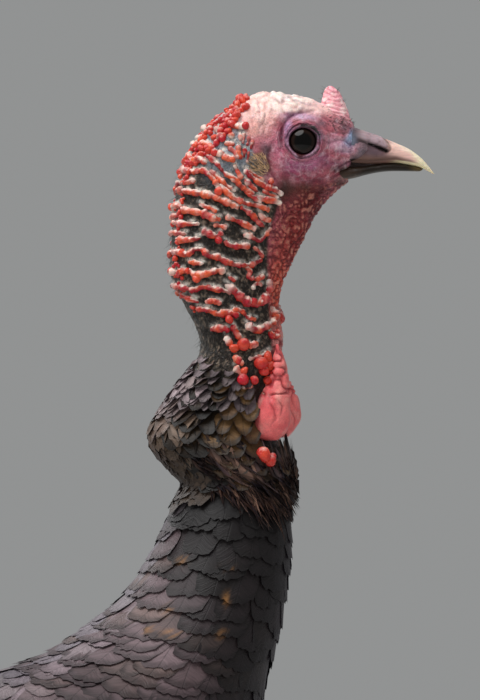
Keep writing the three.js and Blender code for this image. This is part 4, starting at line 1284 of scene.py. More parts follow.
def bristles(sheaf, roots, direction, length, thick, tint, patch, bend=0.2, rows=4, sides=4):
    """Fine tapering bristles: from each root along its own direction, drooping by bend of the length at the
    tip."""
    count = len(roots)
    t = np.linspace(0, 1, rows + 1)[None, :, None, None]
    turn = (np.arange(sides) * 2 * pi / sides)[None, None, :, None]
    ahead = unit(direction)[:, None, None]
    side = unit(np.cross(ahead, np.array([0.31, 0.52, 0.8])))
    up = np.cross(side, ahead)
    length = np.broadcast_to(length, count)[:, None, None, None]
    radius = np.broadcast_to(thick, count)[:, None, None, None] * (1 - 0.92 * t ** 1.5)
    middle = roots[:, None, None] + ahead * length * t + np.array([0, 0, -1.0]) * bend * length * t**2
    points = middle + (side * np.cos(turn) + up * np.sin(turn)) * radius
    tint = np.broadcast_to(tint, (count, 3))[:, None, None]
    sheaf.grids(points, np.broadcast_to(tint, points.shape), True, np.broadcast_to(patch, (count, 4)))


def scatter(column, row, side):
    """Skin points, their normals and their places on the map, at places of the profile's grid."""
    station, angle = on_profile(at(column, row))
    return *surface_frames(station, angle, side), neck_patch(station, side * angle)


def ear_tuft(hairs, side):
    """The tuft over the ear: pale and dark bristles, fanned back."""
    count = 130
    turn, far = rng.uniform(0, 2 * pi, count), np.sqrt(rng.random(count))
    u, v = 258.5 + 9.5 * far * np.cos(turn), 164.5 + 11.0 * far * np.sin(turn)
    root, normal, patch = scatter(u, v, side)
    fan = np.stack([u - 284, np.zeros(count), 190 - v], -1)
    lie = unit(unit(fan) + normal * 0.4 + rng.normal(0, 0.17, (count, 3)))
    shade = mixed("#efc79c", "#33231a", rng.random(count) ** 1.7)
    bristles(hairs, root - unit(fan) * 1.5, lie, rng.uniform(2.8, 5.4, count), 0.22, shade, patch)


def lashes(hairs, side):
    """Short lashes round the front of the lids."""
    count = 34
    turn = rng.uniform(radians(20), radians(100), count)
    away = EYE_OPENING + 0.6 + rng.uniform(0, 1.2, count)
    x, z = EYE[0] + away * np.cos(turn), EYE[2] + away * np.sin(turn)
    root = np.stack([x, np.full(count, side * (EYE[1] + 6.3)), z], -1)
    lie = np.stack([0.6 * np.cos(turn) + 0.6, np.full(count, side * 0.35), 0.5 * np.sin(turn) + 0.15], -1)
    patch = neck_patch(*on_profile(np.stack([x, z], -1)))
    patch[:, 0] = patch[:, 0] if side > 0 else 0.99 - patch[:, 0]
    bristles(hairs, root, lie + rng.normal(0, 0.15, (count, 3)), rng.uniform(1.6, 3.2, count), 0.2,
        linear("#0d0909"), patch)


def lore_hairs(hairs, side):
    """Fine hairs between the eye and the bill."""
    count = 95
    u, v = rng.normal(338, 9, count), rng.normal(123, 6, count)
    root, normal, patch = scatter(u, v, side)
    lie = unit(normal * 0.5 + [0.5, 0, 0.3] + rng.normal(0, 0.3, (count, 3)))
    bristles(hairs, root, lie, rng.uniform(0.8, 2.4, count), 0.13, linear("#1a1214"), patch)


def stubble(hairs, side):
    """Stubble over the dark skin of the neck."""
    count = 2600
    v = rng.uniform(125, 372, count)
    edge = np.interp(v, DARK_EDGE[:, 0], DARK_EDGE[:, 1])
    left = np.interp(v, *NAPE_EDGE.T)
    u = left + (edge - left) * rng.random(count)
    root, normal, patch = scatter(u, v, side)
    lie = unit(normal * 0.4 + [-0.05, 0, -1] + rng.normal(0, 0.3, (count, 3)))
    shade = mixed("#12100e", "#6a6058", rng.random(count) ** 3)
    bristles(hairs, root, lie, rng.uniform(0.8, 2.0, count), 0.13, shade, patch, rows=2, sides=3)


def nape_hairs(hairs, side):
    """A few longer hairs down the nape."""
    count = 46
    v = rng.uniform(150, 345, count)
    u = np.interp(v, *NAPE_EDGE.T) + 2
    root, normal, patch = scatter(u, v, side)
    lie = unit(normal * 0.8 + [-0.2, 0, -0.7] + rng.normal(0, 0.3, (count, 3)))
    bristles(hairs, root, lie, rng.uniform(3, 7, count), 0.09, linear("#1a1512"), patch)


def snood_hairs(hairs):
    """Fine hairs that stand off the snood."""
    count = 46
    turn, up = rng.uniform(0, 2 * pi, count), rng.uniform(0.35, 0.97, count)
    radius = 8.0 - 5.2 * up
    root = np.stack([SNOOD_BASE[0] + (SNOOD_TIP[0] - SNOOD_BASE[0]) * up + radius * np.cos(turn),
        radius * 0.82 * np.sin(turn), SNOOD_BASE[1] + (SNOOD_TIP[1] - SNOOD_BASE[1]) * up], -1)
    lie = np.stack([np.cos(turn), np.sin(turn), np.full(count, 0.9)], -1) + rng.normal(0, 0.25, (count, 3))
    patch = speck(turn / (2 * pi), up * 0.12 + 0.86)
    bristles(hairs, root, lie, rng.uniform(1.4, 3.2, count), 0.09, linear("#1a1314"), patch, bend=0)


def head_bristles():
    """Every bristle of the head and neck, in one piece."""
    hairs = Gathered()
    for side in (-1, 1):
        for grow in (ear_tuft, lashes, lore_hairs, stubble, nape_hairs):
            grow(hairs, side)
    snood_hairs(hairs)
    hairs.piece("head_bristles", BRISTLE, weld=False)


head_bristles()


def beard():
    """The beard: coarse bristles that hang from the breast in one bunch, thinning to uneven ends."""
    strands = Gathered()
    stops = np.array([[331, 531], [342, 521], [349, 495], [350, 450], [346, 400],
        [342, 532 - BEARD_LENGTH]], float)
    count, rows, sides = 150, 16, 5
    reach = rng.uniform(0.62, 1.0, count) ** 0.7
    t = np.linspace(0, 1, rows + 1)[None] * reach[:, None]
    x, z = np.moveaxis(catmull_rom(stops, t * (len(stops) - 1)), -1, 0)
    spread = np.stack([rng.normal(0, 1, count), rng.normal(0, 1, count)])
    spread = spread / np.maximum(1, np.hypot(*spread) / 1.35)
    wide = np.interp(t, [0, 0.15, 0.6, 1], [3.6, 4.6, 4.4, 2.2])
    wave = 0.5 * np.sin(t * 9 + rng.uniform(0, 6, (count, 1)))
    middle = np.stack([x + spread[0][:, None] * wide + wave, spread[1][:, None] * wide * 1.1, z], -1)
    turn = np.arange(sides) * 2 * pi / sides
    ring = np.stack([np.cos(turn), np.sin(turn), np.zeros(sides)], -1)
    radius = (0.55 * (1 - 0.75 * (t / reach[:, None]) ** 3))[..., None, None]
    points = middle[:, :, None] + ring * radius
    shade = mixed("#17120f", "#3a2a1d", rng.random((count, 1, 1)) ** 2 * np.ones((1, rows + 1, sides)))
    patch = speck(*(0.5 + 0.32 * spread))
    strands.grids(points, shade, True, patch)
    strands.piece("beard_bristles", BRISTLE, ("beard",))


beard()


# ---- feathers
def spines(surface, p, q, length, bend, rows):
    """The shafts of feathers on a surface(p, q): row by row, a step of length / rows in the direction bend,
    turned into p and q by what they are worth in mm at that spot. Gives p, q and those worths, (count, rows
    + 1, 1)."""
    step = 1e-3
    found = []
    for row in range(rows + 1):
        per_p = size_of(surface(p + step, q) - surface(p - step, q)) / (2 * step)
        per_q = size_of(surface(p, q + step) - surface(p, q - step)) / (2 * step)
        per_p, per_q = np.maximum(per_p, 2.0), np.maximum(per_q, 6.0)
        found.append(np.stack([p, q, per_p, per_q]))
        p = p + length / rows * np.cos(bend) / per_p
        q = q + length / rows * np.sin(bend) / per_q
    return np.stack(found, -1)[..., None]


# Worn, rusty spots on the lower neck: column, row, half sizes in mm.
RUST = [(172, 631, 5.0, 1.8), (168, 607, 2.0, 2.6), (150, 628, 3.0, 1.5), (222, 632, 2.0, 2.0),
    (226, 598, 1.6, 3.0), (182, 560, 2.4, 2.0), (228, 566, 2.6, 1.6)]


def rust(points):
    """How rusty the plumage is at points: ragged ovals on both sides."""
    share = np.zeros(points.shape[:-1])
    for u, v, wide, high in RUST:
        x, z = at(u, v)
        far = ((points[..., 0] - x) / wide) ** 2 + ((points[..., 2] - z) / high) ** 2
        share = np.maximum(share, np.exp(-far))
    return 0.6 * share * smooth(-0.3, 0.5, noise(points, 1.6, 91))


# What a kind of feather is unless it says otherwise.
PLAIN_VANE = dict(rows=7, columns=7, vary=0.12, stem=0.35, taper=0.1, ragged=0.04, corner=0.2,
    corner_power=3, jitter=0.07, inside_out=False, sunk=-5.0, rise=0.8, uneven=0.5, tilt=0.4, shingle=0.0,
    camber=0.06, curl=0.0, band=0.14, band_colour="#0d0a0a", band_share=0.9, tip_colour=None, edge=0.6,
    bars=None)


def laid(surface, p, q, kind, length, cut, across, turn):
    """Where vanes lie on a surface(p, q) without their own height, and its normals there. Each turns a
    little from its row's direction."""
    bend = np.broadcast_to(turn, len(p)) + rng.normal(0, kind.jitter, len(p))
    spine_p, spine_q, per_p, per_q = spines(surface, p, q, length[:, 0, 0], bend, kind.rows)
    bend = bend[:, None, None]
    place_p = spine_p + (cut * np.cos(bend) - across * np.sin(bend)) / per_p
    place_q = spine_q + (cut * np.sin(bend) + across * np.cos(bend)) / per_q
    step = 1e-3
    normal = unit(np.cross(surface(place_p, place_q + step) - surface(place_p, place_q - step),
        surface(place_p + step, place_q) - surface(place_p - step, place_q)))
    return surface(place_p, place_q), -normal if kind.inside_out else normal


def vane_tint(points, kind, j, k, ragged, shade):
    """Each vane's ground between two of its kind's colours, its dark band and tip, its sides darkened as
    painted shade between overlapping feathers, and the rust."""
    count = len(points)
    colours = [linear(c) for c in kind.colours]
    pick = rng.random(count) * (len(colours) - 1)
    low = np.minimum(pick.astype(int), len(colours) - 2)
    body = mixed(np.array(colours)[low], np.array(colours)[low + 1], pick - low)[:, None, None]
    shade = shade[:, None, None] if np.ndim(shade) == 2 else np.broadcast_to(shade, count)[:, None, None,
        None]
    body = body * rng.uniform(0.86, 1.14, (count, 1, 1, 1)) * shade
    far = np.maximum(j + 0.1 * np.abs(k) ** 3, 0) + ragged
    band_from = 1 - kind.band
    tint = mixed(np.broadcast_to(body, points.shape), kind.band_colour,
        smooth(band_from - 0.08, band_from + 0.04, far) * kind.band_share)
    if kind.tip_colour:
        tint = mixed(tint, kind.tip_colour, smooth(1 - kind.band * 0.5, 1 - kind.band * 0.3, far))
    # darker towards each vane's sides: painted shade between overlapping feathers
    edge = np.broadcast_to(smooth(0.75, 1.0, np.abs(k)), tint.shape[:-1]) * kind.edge
    return painted(tint, (0.45, edge), ("#b0793f", rust(points)))


def vanes(sheaf, surface, p, q, kind, unwrap, turn=0.0, size=1.0, shade=1.0):
    """Feathers lying on a surface(p, q), each a grid of rows along its shaft and columns across it.

    along = length j less the rounding of its corners, across = half width k outline(j), j from 0 to 1 and k
    from -1 to 1. It stands off the surface by sunk + (rise - sunk) j^1.4, more in its middle by camber (1 -
    k^2) and at its tip by curl j^5."""
    kind = SimpleNamespace(**{**PLAIN_VANE, **kind})
    count = len(p)
    j = np.linspace(0, 1, kind.rows + 1)[None, :, None]
    k = np.linspace(-1, 1, kind.columns)[None, None, :]
    vary = (1 + kind.vary * rng.uniform(-1, 1, (2, count))) * size
    length = (kind.length * vary[0])[:, None, None]
    half = (kind.half * vary[1])[:, None, None]
    outline = kind.stem + (1 - kind.stem) * smooth(0, 0.45, j)
    outline = outline * (1 - kind.taper * smooth(0.6, 1, j))
    ragged = rng.uniform(-1, 0.6, (count, 1, kind.columns)) * kind.ragged * j**4
    cut = length * (ragged - kind.corner * np.abs(k) ** kind.corner_power * j**2)
    across = half * outline * k
    base, normal = laid(surface, p, q, kind, length, cut, across, turn)
    own = rng.uniform(-0.5, 0.5, (count, 1, 1)) * kind.uneven
    tilt = rng.uniform(-1, 1, (count, 1, 1)) * kind.tilt + kind.shingle
    height = kind.sunk + (kind.rise - kind.sunk) * j**1.4 + own * j + tilt * k * smooth(0, 0.3, j)
    height = height + kind.camber * half * (1 - k**2) * j
    height = height + kind.curl * j**5 * length + ragged * length * 0.3
    points = base + normal * height[..., None]
    tint = vane_tint(points, kind, j, k, ragged, shade)
    vane = np.stack(np.broadcast_arrays(across, length * j, rng.uniform(0, 90, (count, 1, 1))), -1)
    if kind.bars:
        tint = with_coarse(tint, kind.bars)
    sheaf.grids(points, tint, False, speck(*unwrap(p, q)), vane)


def body_patch(station, angle):
    """A feather's place on the trunk's unwrap: angle round across, station up."""
    return 0.005 + 0.985 * (angle / (2 * pi) % 1), 0.005 + 0.985 * np.clip(station / VENT, 0, 1)


def rows_on(surface, p_from, p_to, exposure, spacing, q_from=0.0, q_to=2 * pi, q_middle=pi / 2):
    """Roots in staggered rows: rows exposure mm apart measured at q_middle, and roots spacing mm apart
    along each."""
    scan = np.linspace(p_from, p_to, 400)
    line = surface(scan, np.full(400, q_middle))
    run = run_along(line)
    count = max(2, int(round(run[-1] / exposure)) + 1)
    p_rows = np.interp(np.linspace(0, run[-1], count), run, scan)
    ps, qs = [], []
    for row, p in enumerate(p_rows):
        turn = np.linspace(q_from, q_to, 400)
        ring = surface(np.full(400, p), turn)
        long = run_along(ring)
        here = max(3, int(round(long[-1] / spacing)))
        spots = (np.arange(here) + (0.5 if row % 2 else 0.0) + rng.normal(0, 0.12, here)) / here * long[-1]
        qs.append(np.interp(spots, long, turn))
        ps.append(np.full(here, p) + rng.normal(0, 0.12, here) * (p_rows[1] - p_rows[0]))
    return np.concatenate(ps), np.concatenate(qs)


def from_back(angle):
    """How far round from the back an angle is, 0 to pi."""
    return np.abs((angle + pi) % (2 * pi) - pi)


def wing_over(points):
    """True where the folded wing hides the body."""
    order = np.argsort(WING[:, 0])
    table = WING[order]
    middle = np.interp(points[..., 0], table[:, 0], table[:, 1])
    high = np.interp(points[..., 0], table[:, 0], table[:, 2], left=0, right=0)
    return (np.abs(points[..., 2] - middle) < high - 14) & (np.abs(points[..., 1]) > 35)


def lobe_over(points):
    """True where a lobe of the throat hangs over the neck."""
    return (np.abs(points[..., 0] - 331.5) < 8.5) & (np.abs(points[..., 2] - 782) < 24)


SLATE = ["#57484b", "#635357", "#504143", "#604f4c"]
# the hump's light lilac grey is partly painted sheen
RUFF_GREY = dict(length=29, half=7.8, colours=["#857578", "#6a5c5f", "#8f7f82", "#756560"], band=0.08,
    corner=0.3, corner_power=2.3, ragged=0.06, sunk=-3.4, rise=1.1, tilt=0.25, uneven=0.4, curl=0.01,
    band_share=0.45, edge=0.4, rows=8, columns=9)
RUFF_DARK = dict(length=21, half=8.8, colours=["#3a2d20", "#4c3a28", "#2a2018"], band=0.14, corner=0.42,
    corner_power=2.2, ragged=0.05, sunk=-4, rise=1.2, camber=0.14, uneven=0.6, band_colour="#0b0806")
RUFF_BRONZE = dict(length=19, half=8.4, colours=["#644a30", "#866540", "#513922", "#9a7a55"], band=0.14,
    corner=0.42, corner_power=2.3, ragged=0.03, sunk=-4, rise=1.3, camber=0.18, uneven=0.6,
    band_colour="#0f0a07")
# Horny plates over the leg: dry keratin, each plate slightly crazed; its grooves are darker by painted
# shade in the hide's tint.
TUFT = dict(length=30, half=1.3, colours=["#8a6455", "#3a2d2c", "#a57f6c", "#4a3b3d"], band=0.05,
    corner=0.5, corner_power=1.5, ragged=0.2, sunk=-3, rise=2.2, camber=0.3, tilt=1.0, uneven=2.0,
    jitter=0.2, taper=0.8, rows=8, columns=3)
BREAST = dict(length=31, half=14, colours=SLATE, band=0.12, band_share=0.62, corner=0.14, corner_power=4,
    ragged=0.055, sunk=-2.0, rise=0.3, camber=0.03, tilt=0.25, uneven=0.35, edge=0.35, rows=9, columns=13)
# the mantle's light lilac grey is partly painted sheen
MANTLE = dict(length=30, half=11, colours=["#5f575d", "#665e65", "#5f575a", "#5b535a"], band=0.08,
    band_share=0.4, edge=0.2, corner=0.14, corner_power=4, ragged=0.05, sunk=-1.8, rise=0.2, camber=0.02,
    tilt=0.2, uneven=0.3, rows=9, columns=9)
BACK = dict(length=46, half=17, colours=["#4d4038", "#5f4733", "#423837", "#6a4a30"], band=0.16, corner=0.2,
    corner_power=3.5, sunk=-4.5, rise=1.0, camber=0.05, tilt=0.6, uneven=0.8, rows=8)
FLANK = dict(length=50, half=17, colours=["#372b26", "#44342b", "#2d2423", "#4d3927"], band=0.16,
    corner=0.22, corner_power=3.2, ragged=0.06, sunk=-4.8, rise=1.0, camber=0.05, tilt=0.7, uneven=1.0)
RUMP = dict(length=56, half=18, colours=["#5a3a22", "#6e4527", "#4b3226"], band=0.2, corner=0.24, sunk=-7,
    rise=1.0, camber=0.05, uneven=0.8, tip_colour="#5d2f18", rows=8)


def body_group(name, kind, low, high, exposure, spacing, keep, q_middle=pi / 2, replaces=(), sizes=None,
        shades=None, turn=0.0):
    """One coat piece: staggered rows of a kind of feather on the body, where keep(station, angle) is
    true."""
    p, q = rows_on(body_surface, low, high, exposure, spacing, q_middle=q_middle)
    stay = keep(p, from_back(q)) & ~wing_over(body_surface(p, q)) & ~lobe_over(body_surface(p, q))
    p, q = p[stay], q[stay]
    size = 1.0 if sizes is None else sizes(p, from_back(q))
    shade = 1.0 if shades is None else shades(p, from_back(q))
    sheaf = Gathered()
    vanes(sheaf, body_surface, p, q, kind, body_patch, turn * np.sign(np.sin(q)), size, shade)
    sheaf.piece(name, CONTOUR, replaces)


def mantle_shade(station, away):
    """The mantle's lilac grey, darker and browner towards the back where it turns into the back's colour,
    and lighter and warmer down its sides as painted light from the sky.
    """
    browner = mixed(np.ones(3), np.array([1.25, 0.95, 0.72]), smooth(20.3, 22.8, station))
    warmer = mixed(np.ones(3), np.array([1.35, 1.2, 1.16]), smooth(0.35, 0.85, away))
    return np.interp(station, [18, 20, 23], [1.3, 1.05, 0.58])[:, None] * browner * warmer


def neck_painted_light(station, away):
    """The lower neck's painted light and shade: lighter on its side, darker round its front, the lighter
    side reaching further round at its foot than at its top.
    """
    tilted = away - 0.6 * (station - 18)
    lit = np.interp(tilted, [0.6, 1.1, 1.45, 1.65, 1.9, 2.25], [1.15, 1.15, 1.4, 0.95, 0.3, 0.1])
    return lit * np.interp(station, [15, 16.5, 17.2, 18.3, 18.8], [0.5, 0.85, 1.0, 1.0, 0.75])


def hump_shade(station, away):
    """The ruff's hump: lilac grey above and olive brown below, its own colours, with painted light making
    it brighter above and painted shade making it dark below.
    """
    olive = mixed(np.ones(3), np.array([1.15, 1.0, 0.66]), smooth(11.3, 12.0, station))
    return np.interp(station, [10.4, 11.2, 11.6, 12.1, 12.8], [1.2, 1.25, 0.8, 0.38, 0.24])[:, None] * olive


def ruff_shade(station, away):
    """The ruff's dark scales, darkest at their foot and round towards the front: painted shade under the
    hump.
    """
    return np.interp(away, [0.9, 1.2, 1.46], [0.6, 0.42, 0.36]) * np.interp(station, [12.2, 13.0],
        [1.0, 0.5])


# From the tail forwards, so that each piece's neighbours ahead lie over it.
body_group("rump_feathers", RUMP, 28.5, 32.6, 17, 20, lambda s, a: a < 1.6, q_middle=0.3)
body_group("back_feathers", BACK, 22.6, 29.2, 15, 20, lambda s, a: a < 1.5, q_middle=0.2)
body_group("vent_feathers", FLANK, 27.5, 32.6, 20, 24, lambda s, a: a > 1.2, q_middle=2.6)
body_group("belly_feathers", FLANK, 23.0, 27.6, 20, 22, lambda s, a: a > 1.2, q_middle=2.4)
# The breast's feathers grow darker round towards its front and underside: partly their darker colour,
# partly painted shade.
body_group("breast_feathers", BREAST, 18.6, 23.4, 14, 19, lambda s, a: a > 0.75, q_middle=2.2,
    replaces=("trunk",), shades=lambda s, a: np.interp(a, [0.8, 1.2, 1.6, 1.85, 2.15],
    [1.0, 0.85, 0.75, 0.45, 0.13]))
body_group("mantle_feathers", MANTLE, 17.6, 23.0, 11.5, 15, lambda s, a: a <= 0.85, q_middle=0.3,
    shades=mantle_shade)
body_group("lower_neck_feathers", BREAST, 14.7, 18.8, 10, 13.5, lambda s, a: a > 0.2, q_middle=1.4,
    replaces=("neck_lower",), sizes=lambda s, a: np.interp(s, [15.5, 19], [0.72, 0.95]), shades=neck_painted_light)
body_group("nape_base_feathers", MANTLE, 14.2, 17.9, 9, 11, lambda s, a: a <= 0.5, q_middle=0.3,
    sizes=lambda s, a: np.interp(s, [15.5, 19], [0.75, 1.0]),
    shades=lambda s, a: np.interp(s, [14.5, 16.5, 17.8], [0.55, 1.1, 1.7]))
# The loose tuft is lighter round the side of the neck, painted highlight of glints, and darker towards both
# ends.
body_group("loose_tuft", TUFT, 13.3, 14.6, 2.2, 1.9, lambda s, a: (a > 0.9) & (a + s < 16.6), q_middle=1.4,
    turn=0.7, sizes=lambda s, a: np.interp(a, [1.0, 1.5, 2.2, 2.6], [0.6, 1.0, 1.05, 0.6]),
    shades=lambda s, a: np.interp(a, [0.9, 1.3, 1.7, 2.1], [0.7, 1.9, 1.6, 0.8]))
body_group("ruff_scales", RUFF_BRONZE, 11.4, 13.5, 5.4, 8.8, lambda s, a: a > 1.42, q_middle=1.4,
    replaces=("neck_ruff",), sizes=lambda s, a: np.interp(s, [11, 12.5, 15], [0.5, 0.9, 1.1]),
    shades=lambda s, a: np.interp(a, [1.5, 1.9, 2.4], [1.15, 0.9, 0.5]))
body_group("ruff_dark_scales", RUFF_DARK, 11.0, 13.6, 5.4, 8.4, lambda s, a: (a > 0.85) & (a <= 1.46),
    q_middle=1.2, sizes=lambda s, a: np.interp(s, [11, 12.5, 15], [0.55, 0.95, 1.15]), shades=ruff_shade)
body_group("ruff_collar", RUFF_GREY, 10.9, 11.6, 4.6, 6.0, lambda s, a: a > 0.95, q_middle=1.3,
    sizes=lambda s, a: np.interp(s, [10.9, 11.6], [0.4, 0.55]), shades=lambda s, a: 0.6)
body_group("ruff_hump", RUFF_GREY, 10.3, 13.6, 4.6, 6.4, lambda s, a: a <= 0.98, q_middle=0.3,
    sizes=lambda s, a: np.interp(s, [10, 11.2, 12, 15], [0.5, 0.75, 1.0, 1.1]), shades=hump_shade)

# ---- wings
COVERT_SMALL = dict(length=26, half=10.5, colours=["#3b302b", "#4c3a2a", "#5b4530"], band=0.18, corner=0.35,
    corner_power=2.5, sunk=-3, rise=1.2, camber=0.08, uneven=0.5)
COVERT_BIG = dict(length=62, half=17, colours=["#5e432a", "#74502f", "#4d392a", "#80573a"], band=0.13,
    corner=0.25, ragged=0.03, sunk=-2, rise=2.4, camber=0.07, uneven=0.4, rows=9)
QUILL = dict(length=200, half=15, colours=["#40342c", "#382e29"], band=0.02, corner=0.09, ragged=0.004,
    sunk=0.0, rise=1.0, camber=0.02, uneven=0.1, tilt=0.1, shingle=1.3, jitter=0.006, stem=0.9, taper=0.45,
    vary=0.025, rows=26, band_share=0.3, bars=1.0)
TERTIAL = dict(QUILL, half=20, colours=["#4a3a2c", "#6a5038"], bars=0.12)


# [first p, last p, first q, last q, count, tips' p, lift in mm, kind] of each fan of quills, lowest first
FANS = [(0.60, 0.60, 2.75, 0.7, 13, 0.99, -1.2, QUILL), (0.37, 0.34, 2.75, 0.85, 15, 0.9, 0.2, QUILL),
    (0.32, 0.30, 0.9, 0.1, 6, 0.86, 1.6, TERTIAL)]
# [kind, p from, p to, row to row, root to root in mm] of the ranks of coverts
RANKS = [(COVERT_BIG, 0.26, 0.40, 30, 17), (COVERT_SMALL, 0.02, 0.27, 12, 13)]
FORM_SHARE = 0.86                          # the form under the wing's feathers, painted dark as their shade, as a share of the wing


def wing_patch(t, angle):
    """A feather's place on the wing's unwrap."""
    return 0.01 + 0.97 * np.clip((angle + 0.5) / (pi + 1), 0, 1), 0.01 + 0.97 * np.clip(t, 0, 1)


def wing_quills(surface, side, name):
    """Primaries lowest, then secondaries and tertials, as long strips that run back."""
    quills = Gathered()
    for p_first, p_last, q_first, q_last, count, p_end, lift, kind in FANS:
        q = np.linspace(q_first, q_last, count)
        p = np.linspace(p_first, p_last, count) + rng.normal(0, 0.003, count)
        steps = np.linspace(0, 1, 60)[:, None]
        shafts = surface(p + (p_end - p) * steps, q + 0 * steps)
        long = size_of(np.diff(shafts, axis=0)).sum(0)
        here = dict(kind, sunk=kind["sunk"] + lift, rise=kind["rise"] + lift, inside_out=side < 0)
        size = np.stack([long / kind["length"], np.ones(count)])
        vanes(quills, surface, p, q, here, wing_patch, size=size)
    quills.piece(f"wing_quills_{name}", WING_QUILL)


def wing_coverts(surface, side, name):
    """Ranks of coverts from the bend of the wing."""
    coverts = Gathered()
    for kind, low, high, exposure, spacing in RANKS:
        p, q = rows_on(surface, low, high, exposure, spacing, -0.15, pi + 0.15)
        vanes(coverts, surface, p, q, dict(kind, rise=kind["rise"] + 2.2, inside_out=side < 0), wing_patch)
    coverts.piece(f"wing_coverts_{name}", CONTOUR)


def folded_wing(side, name, node):
    """The folded wing: quills and coverts over a form painted dark as the shade beneath them."""
    surface = wing_surface(side)
    wing_quills(surface, side, name)
    wing_coverts(surface, side, name)
    core = surface(*ring_grid(np.linspace(0, 1, 60), 40))
    middle = core.mean(1, keepdims=True)
    form = Gathered()
    form.grid(closed(middle + (core - middle) * FORM_SHARE)[:, ::side], linear("#241d1a"), True)
    form.piece(f"wing_form_{name}", CONTOUR, (node,), weld=True)


folded_wing(1, "left", "wing_left")
folded_wing(-1, "right", "wing_right")


# ---- tail
def limb_patch(t, angle):
    """A feather's place on a limb's unwrap: angle round across, the limb's length up."""
    return 0.01 + 0.97 * (angle / (2 * pi) % 1), 0.01 + 0.97 * np.clip(t, 0, 1)


def tail_patch(t, angle):
    """A feather's place on the tail's unwrap, which starts above the first tenth."""
    return limb_patch(t + 0.1, angle)


def tail():
    """Nine pairs of tail feathers closed like a fan, the middle pair on top and each next pair 0.9 mm lower
    and further out."""
    quills = Gathered()
    count, rows, columns = 18, 46, 9
    rank = np.arange(count) // 2
    hand = np.where(np.arange(count) % 2, 1, -1)
    j = np.linspace(0, 1, rows + 1)[None, :, None]
    k = np.linspace(-1, 1, columns)[None, None, :]
    long = (TAIL_LENGTH * (0.985 - 0.006 * rank))[:, None, None]
    half = 27.0
    outline = (0.55 + 0.45
        * smooth(0, 0.5, j)) * np.sqrt(np.clip(1 - (np.clip(j - 0.93, 0, 1) / 0.0715) ** 2, 0.0, 1))
    off = (hand * (4 + rank * 4.2))[:, None, None] * (0.55 + 0.45 * j)
    across = off + half * outline * k
    below = 2.0 + 0.9 * rank[:, None, None] + 1.5 * k * hand[:, None, None]
    t = np.broadcast_to(0.04 + 0.96 * j * long / TAIL_LENGTH, across.shape)
    up = 3 + 9 * (1 - t) ** 1.6 - below - TAIL_ARCH * (across / TAIL_TIP_HALF) ** 2 + 1.2 * (1 - k**2)
    points = TAIL_ROOT + TAIL_BACK * (TAIL_LENGTH * t)[..., None] + TAIL_UP * up[..., None]
    points = points + np.array([0, 1, 0]) * across[..., None]
    tint = np.broadcast_to(linear("#63351c"), points.shape)
    tint = painted(
        tint,
        ("#0c0908", np.broadcast_to(smooth(0.845, 0.865, j) * smooth(0.955, 0.94, j), across.shape)),
        ("#8a5530", np.broadcast_to(smooth(0.945, 0.955, j), across.shape)))
    vane = np.stack(np.broadcast_arrays(half * outline * k, j * long, np.arange(count)[:, None, None]
        * 7.0), -1)
    patch = np.stack([np.arange(count) / count, np.zeros(count), np.full(count, 0.9 / count),
        np.ones(count)], -1)
    quills.grids(points, tint, False, patch, vane)
    quills.piece("tail_quills", TAIL_QUILL, ("tail",))


def tail_coverts():
    """Coverts over the tail's first half, above and below."""
    coverts = Gathered()
    p, q = rows_on(tail_surface, 0.02, 0.36, 24, 21, q_middle=0.2)
    above = from_back(q) < pi / 2
    sunk = np.interp(p[above], [0.04, 0.16], [-17, -2])[:, None, None]
    upper = dict(RUMP, length=78, half=20, sunk=sunk, rise=1.6, corner=0.3)
    under = dict(FLANK, length=80, half=20, sunk=-5.0, rise=0.5, corner=0.3, tip_colour="#6b3f22", band=0.2)
    vanes(coverts, tail_surface, p[above], q[above], upper, tail_patch)
    vanes(coverts, tail_surface, p[~above], q[~above], under, tail_patch)
    coverts.piece("tail_coverts", CONTOUR)


tail()
tail_coverts()


# ---- legs
# Each toe's turn outwards in degrees, its length and its radius at the tip.
TOES = {"middle": (4, 84, 4.6), "inner": (36, 62, 4.4), "outer": (-30, 66, 4.2), "hind": (168, 34, 3.8)}
TOE_RADIUS, TOE_HEIGHT = 6.4, 5.2
THIGH = dict(length=30, half=5.0, colours=["#3a2e28", "#4b3a30", "#2d2522"], band=0.12, corner=0.5,
    corner_power=1.6, ragged=0.15, sunk=-3, rise=1.2, camber=0.15, tilt=0.9, uneven=1.2, jitter=0.15,
    taper=0.5, rows=5, columns=5)


def plates(along, around, pitch, wide):
    """Staggered plates: 1 inside a plate, falling to 0 in the grooves round it."""
    row = np.floor(along / pitch)
    a = along / pitch - row
    b = (around / wide + 0.5 * (row % 2)) % 1
    edge = np.minimum(np.minimum(a, 1 - a) * pitch, np.minimum(b, 1 - b) * wide)
    return smooth(0.0, 0.9, edge)


GROUND = 0.02                              # the lowest that the skin of a foot reaches, in mm
# [share of the way from ankle to foot, height, half depth, half width] down the shank
SHANK = [(0, 196, 9.5, 8.0), (0, 192, 10.5, 8.5), (0.03, 182, 12, 9), (0.14, 160, 8.6, 6.8),
    (0.48, 95, 7.4, 6.2), (0.79, 42, 8.2, 7.2), (0.96, 16, 9, 8.6)]
# [how far back in spur lengths, how far in, height, radius] along the spur
SPUR_STOPS = [(0, 4, 62, 5.5), (0.4, 7, 61, 4.2), (0.9, 10, 62, 2.2), (1.25, 12, 65, 0.5)]


def scaled(scaly, points, relief, depth, patch):
    """Adds a tube of hide whose grooves lie depth mm under its plates, none of it under the ground, tinted
    darker in the grooves as painted shade.
    """
    outward = unit(points - points.mean(1, keepdims=True))
    points = points + outward * (depth * relief - depth)[..., None]
    points[..., 2] = np.maximum(points[..., 2], GROUND)
    scaly.grid(closed(points), closed(mixed("#6d4f4a", "#b98f86", relief)), True, patch)


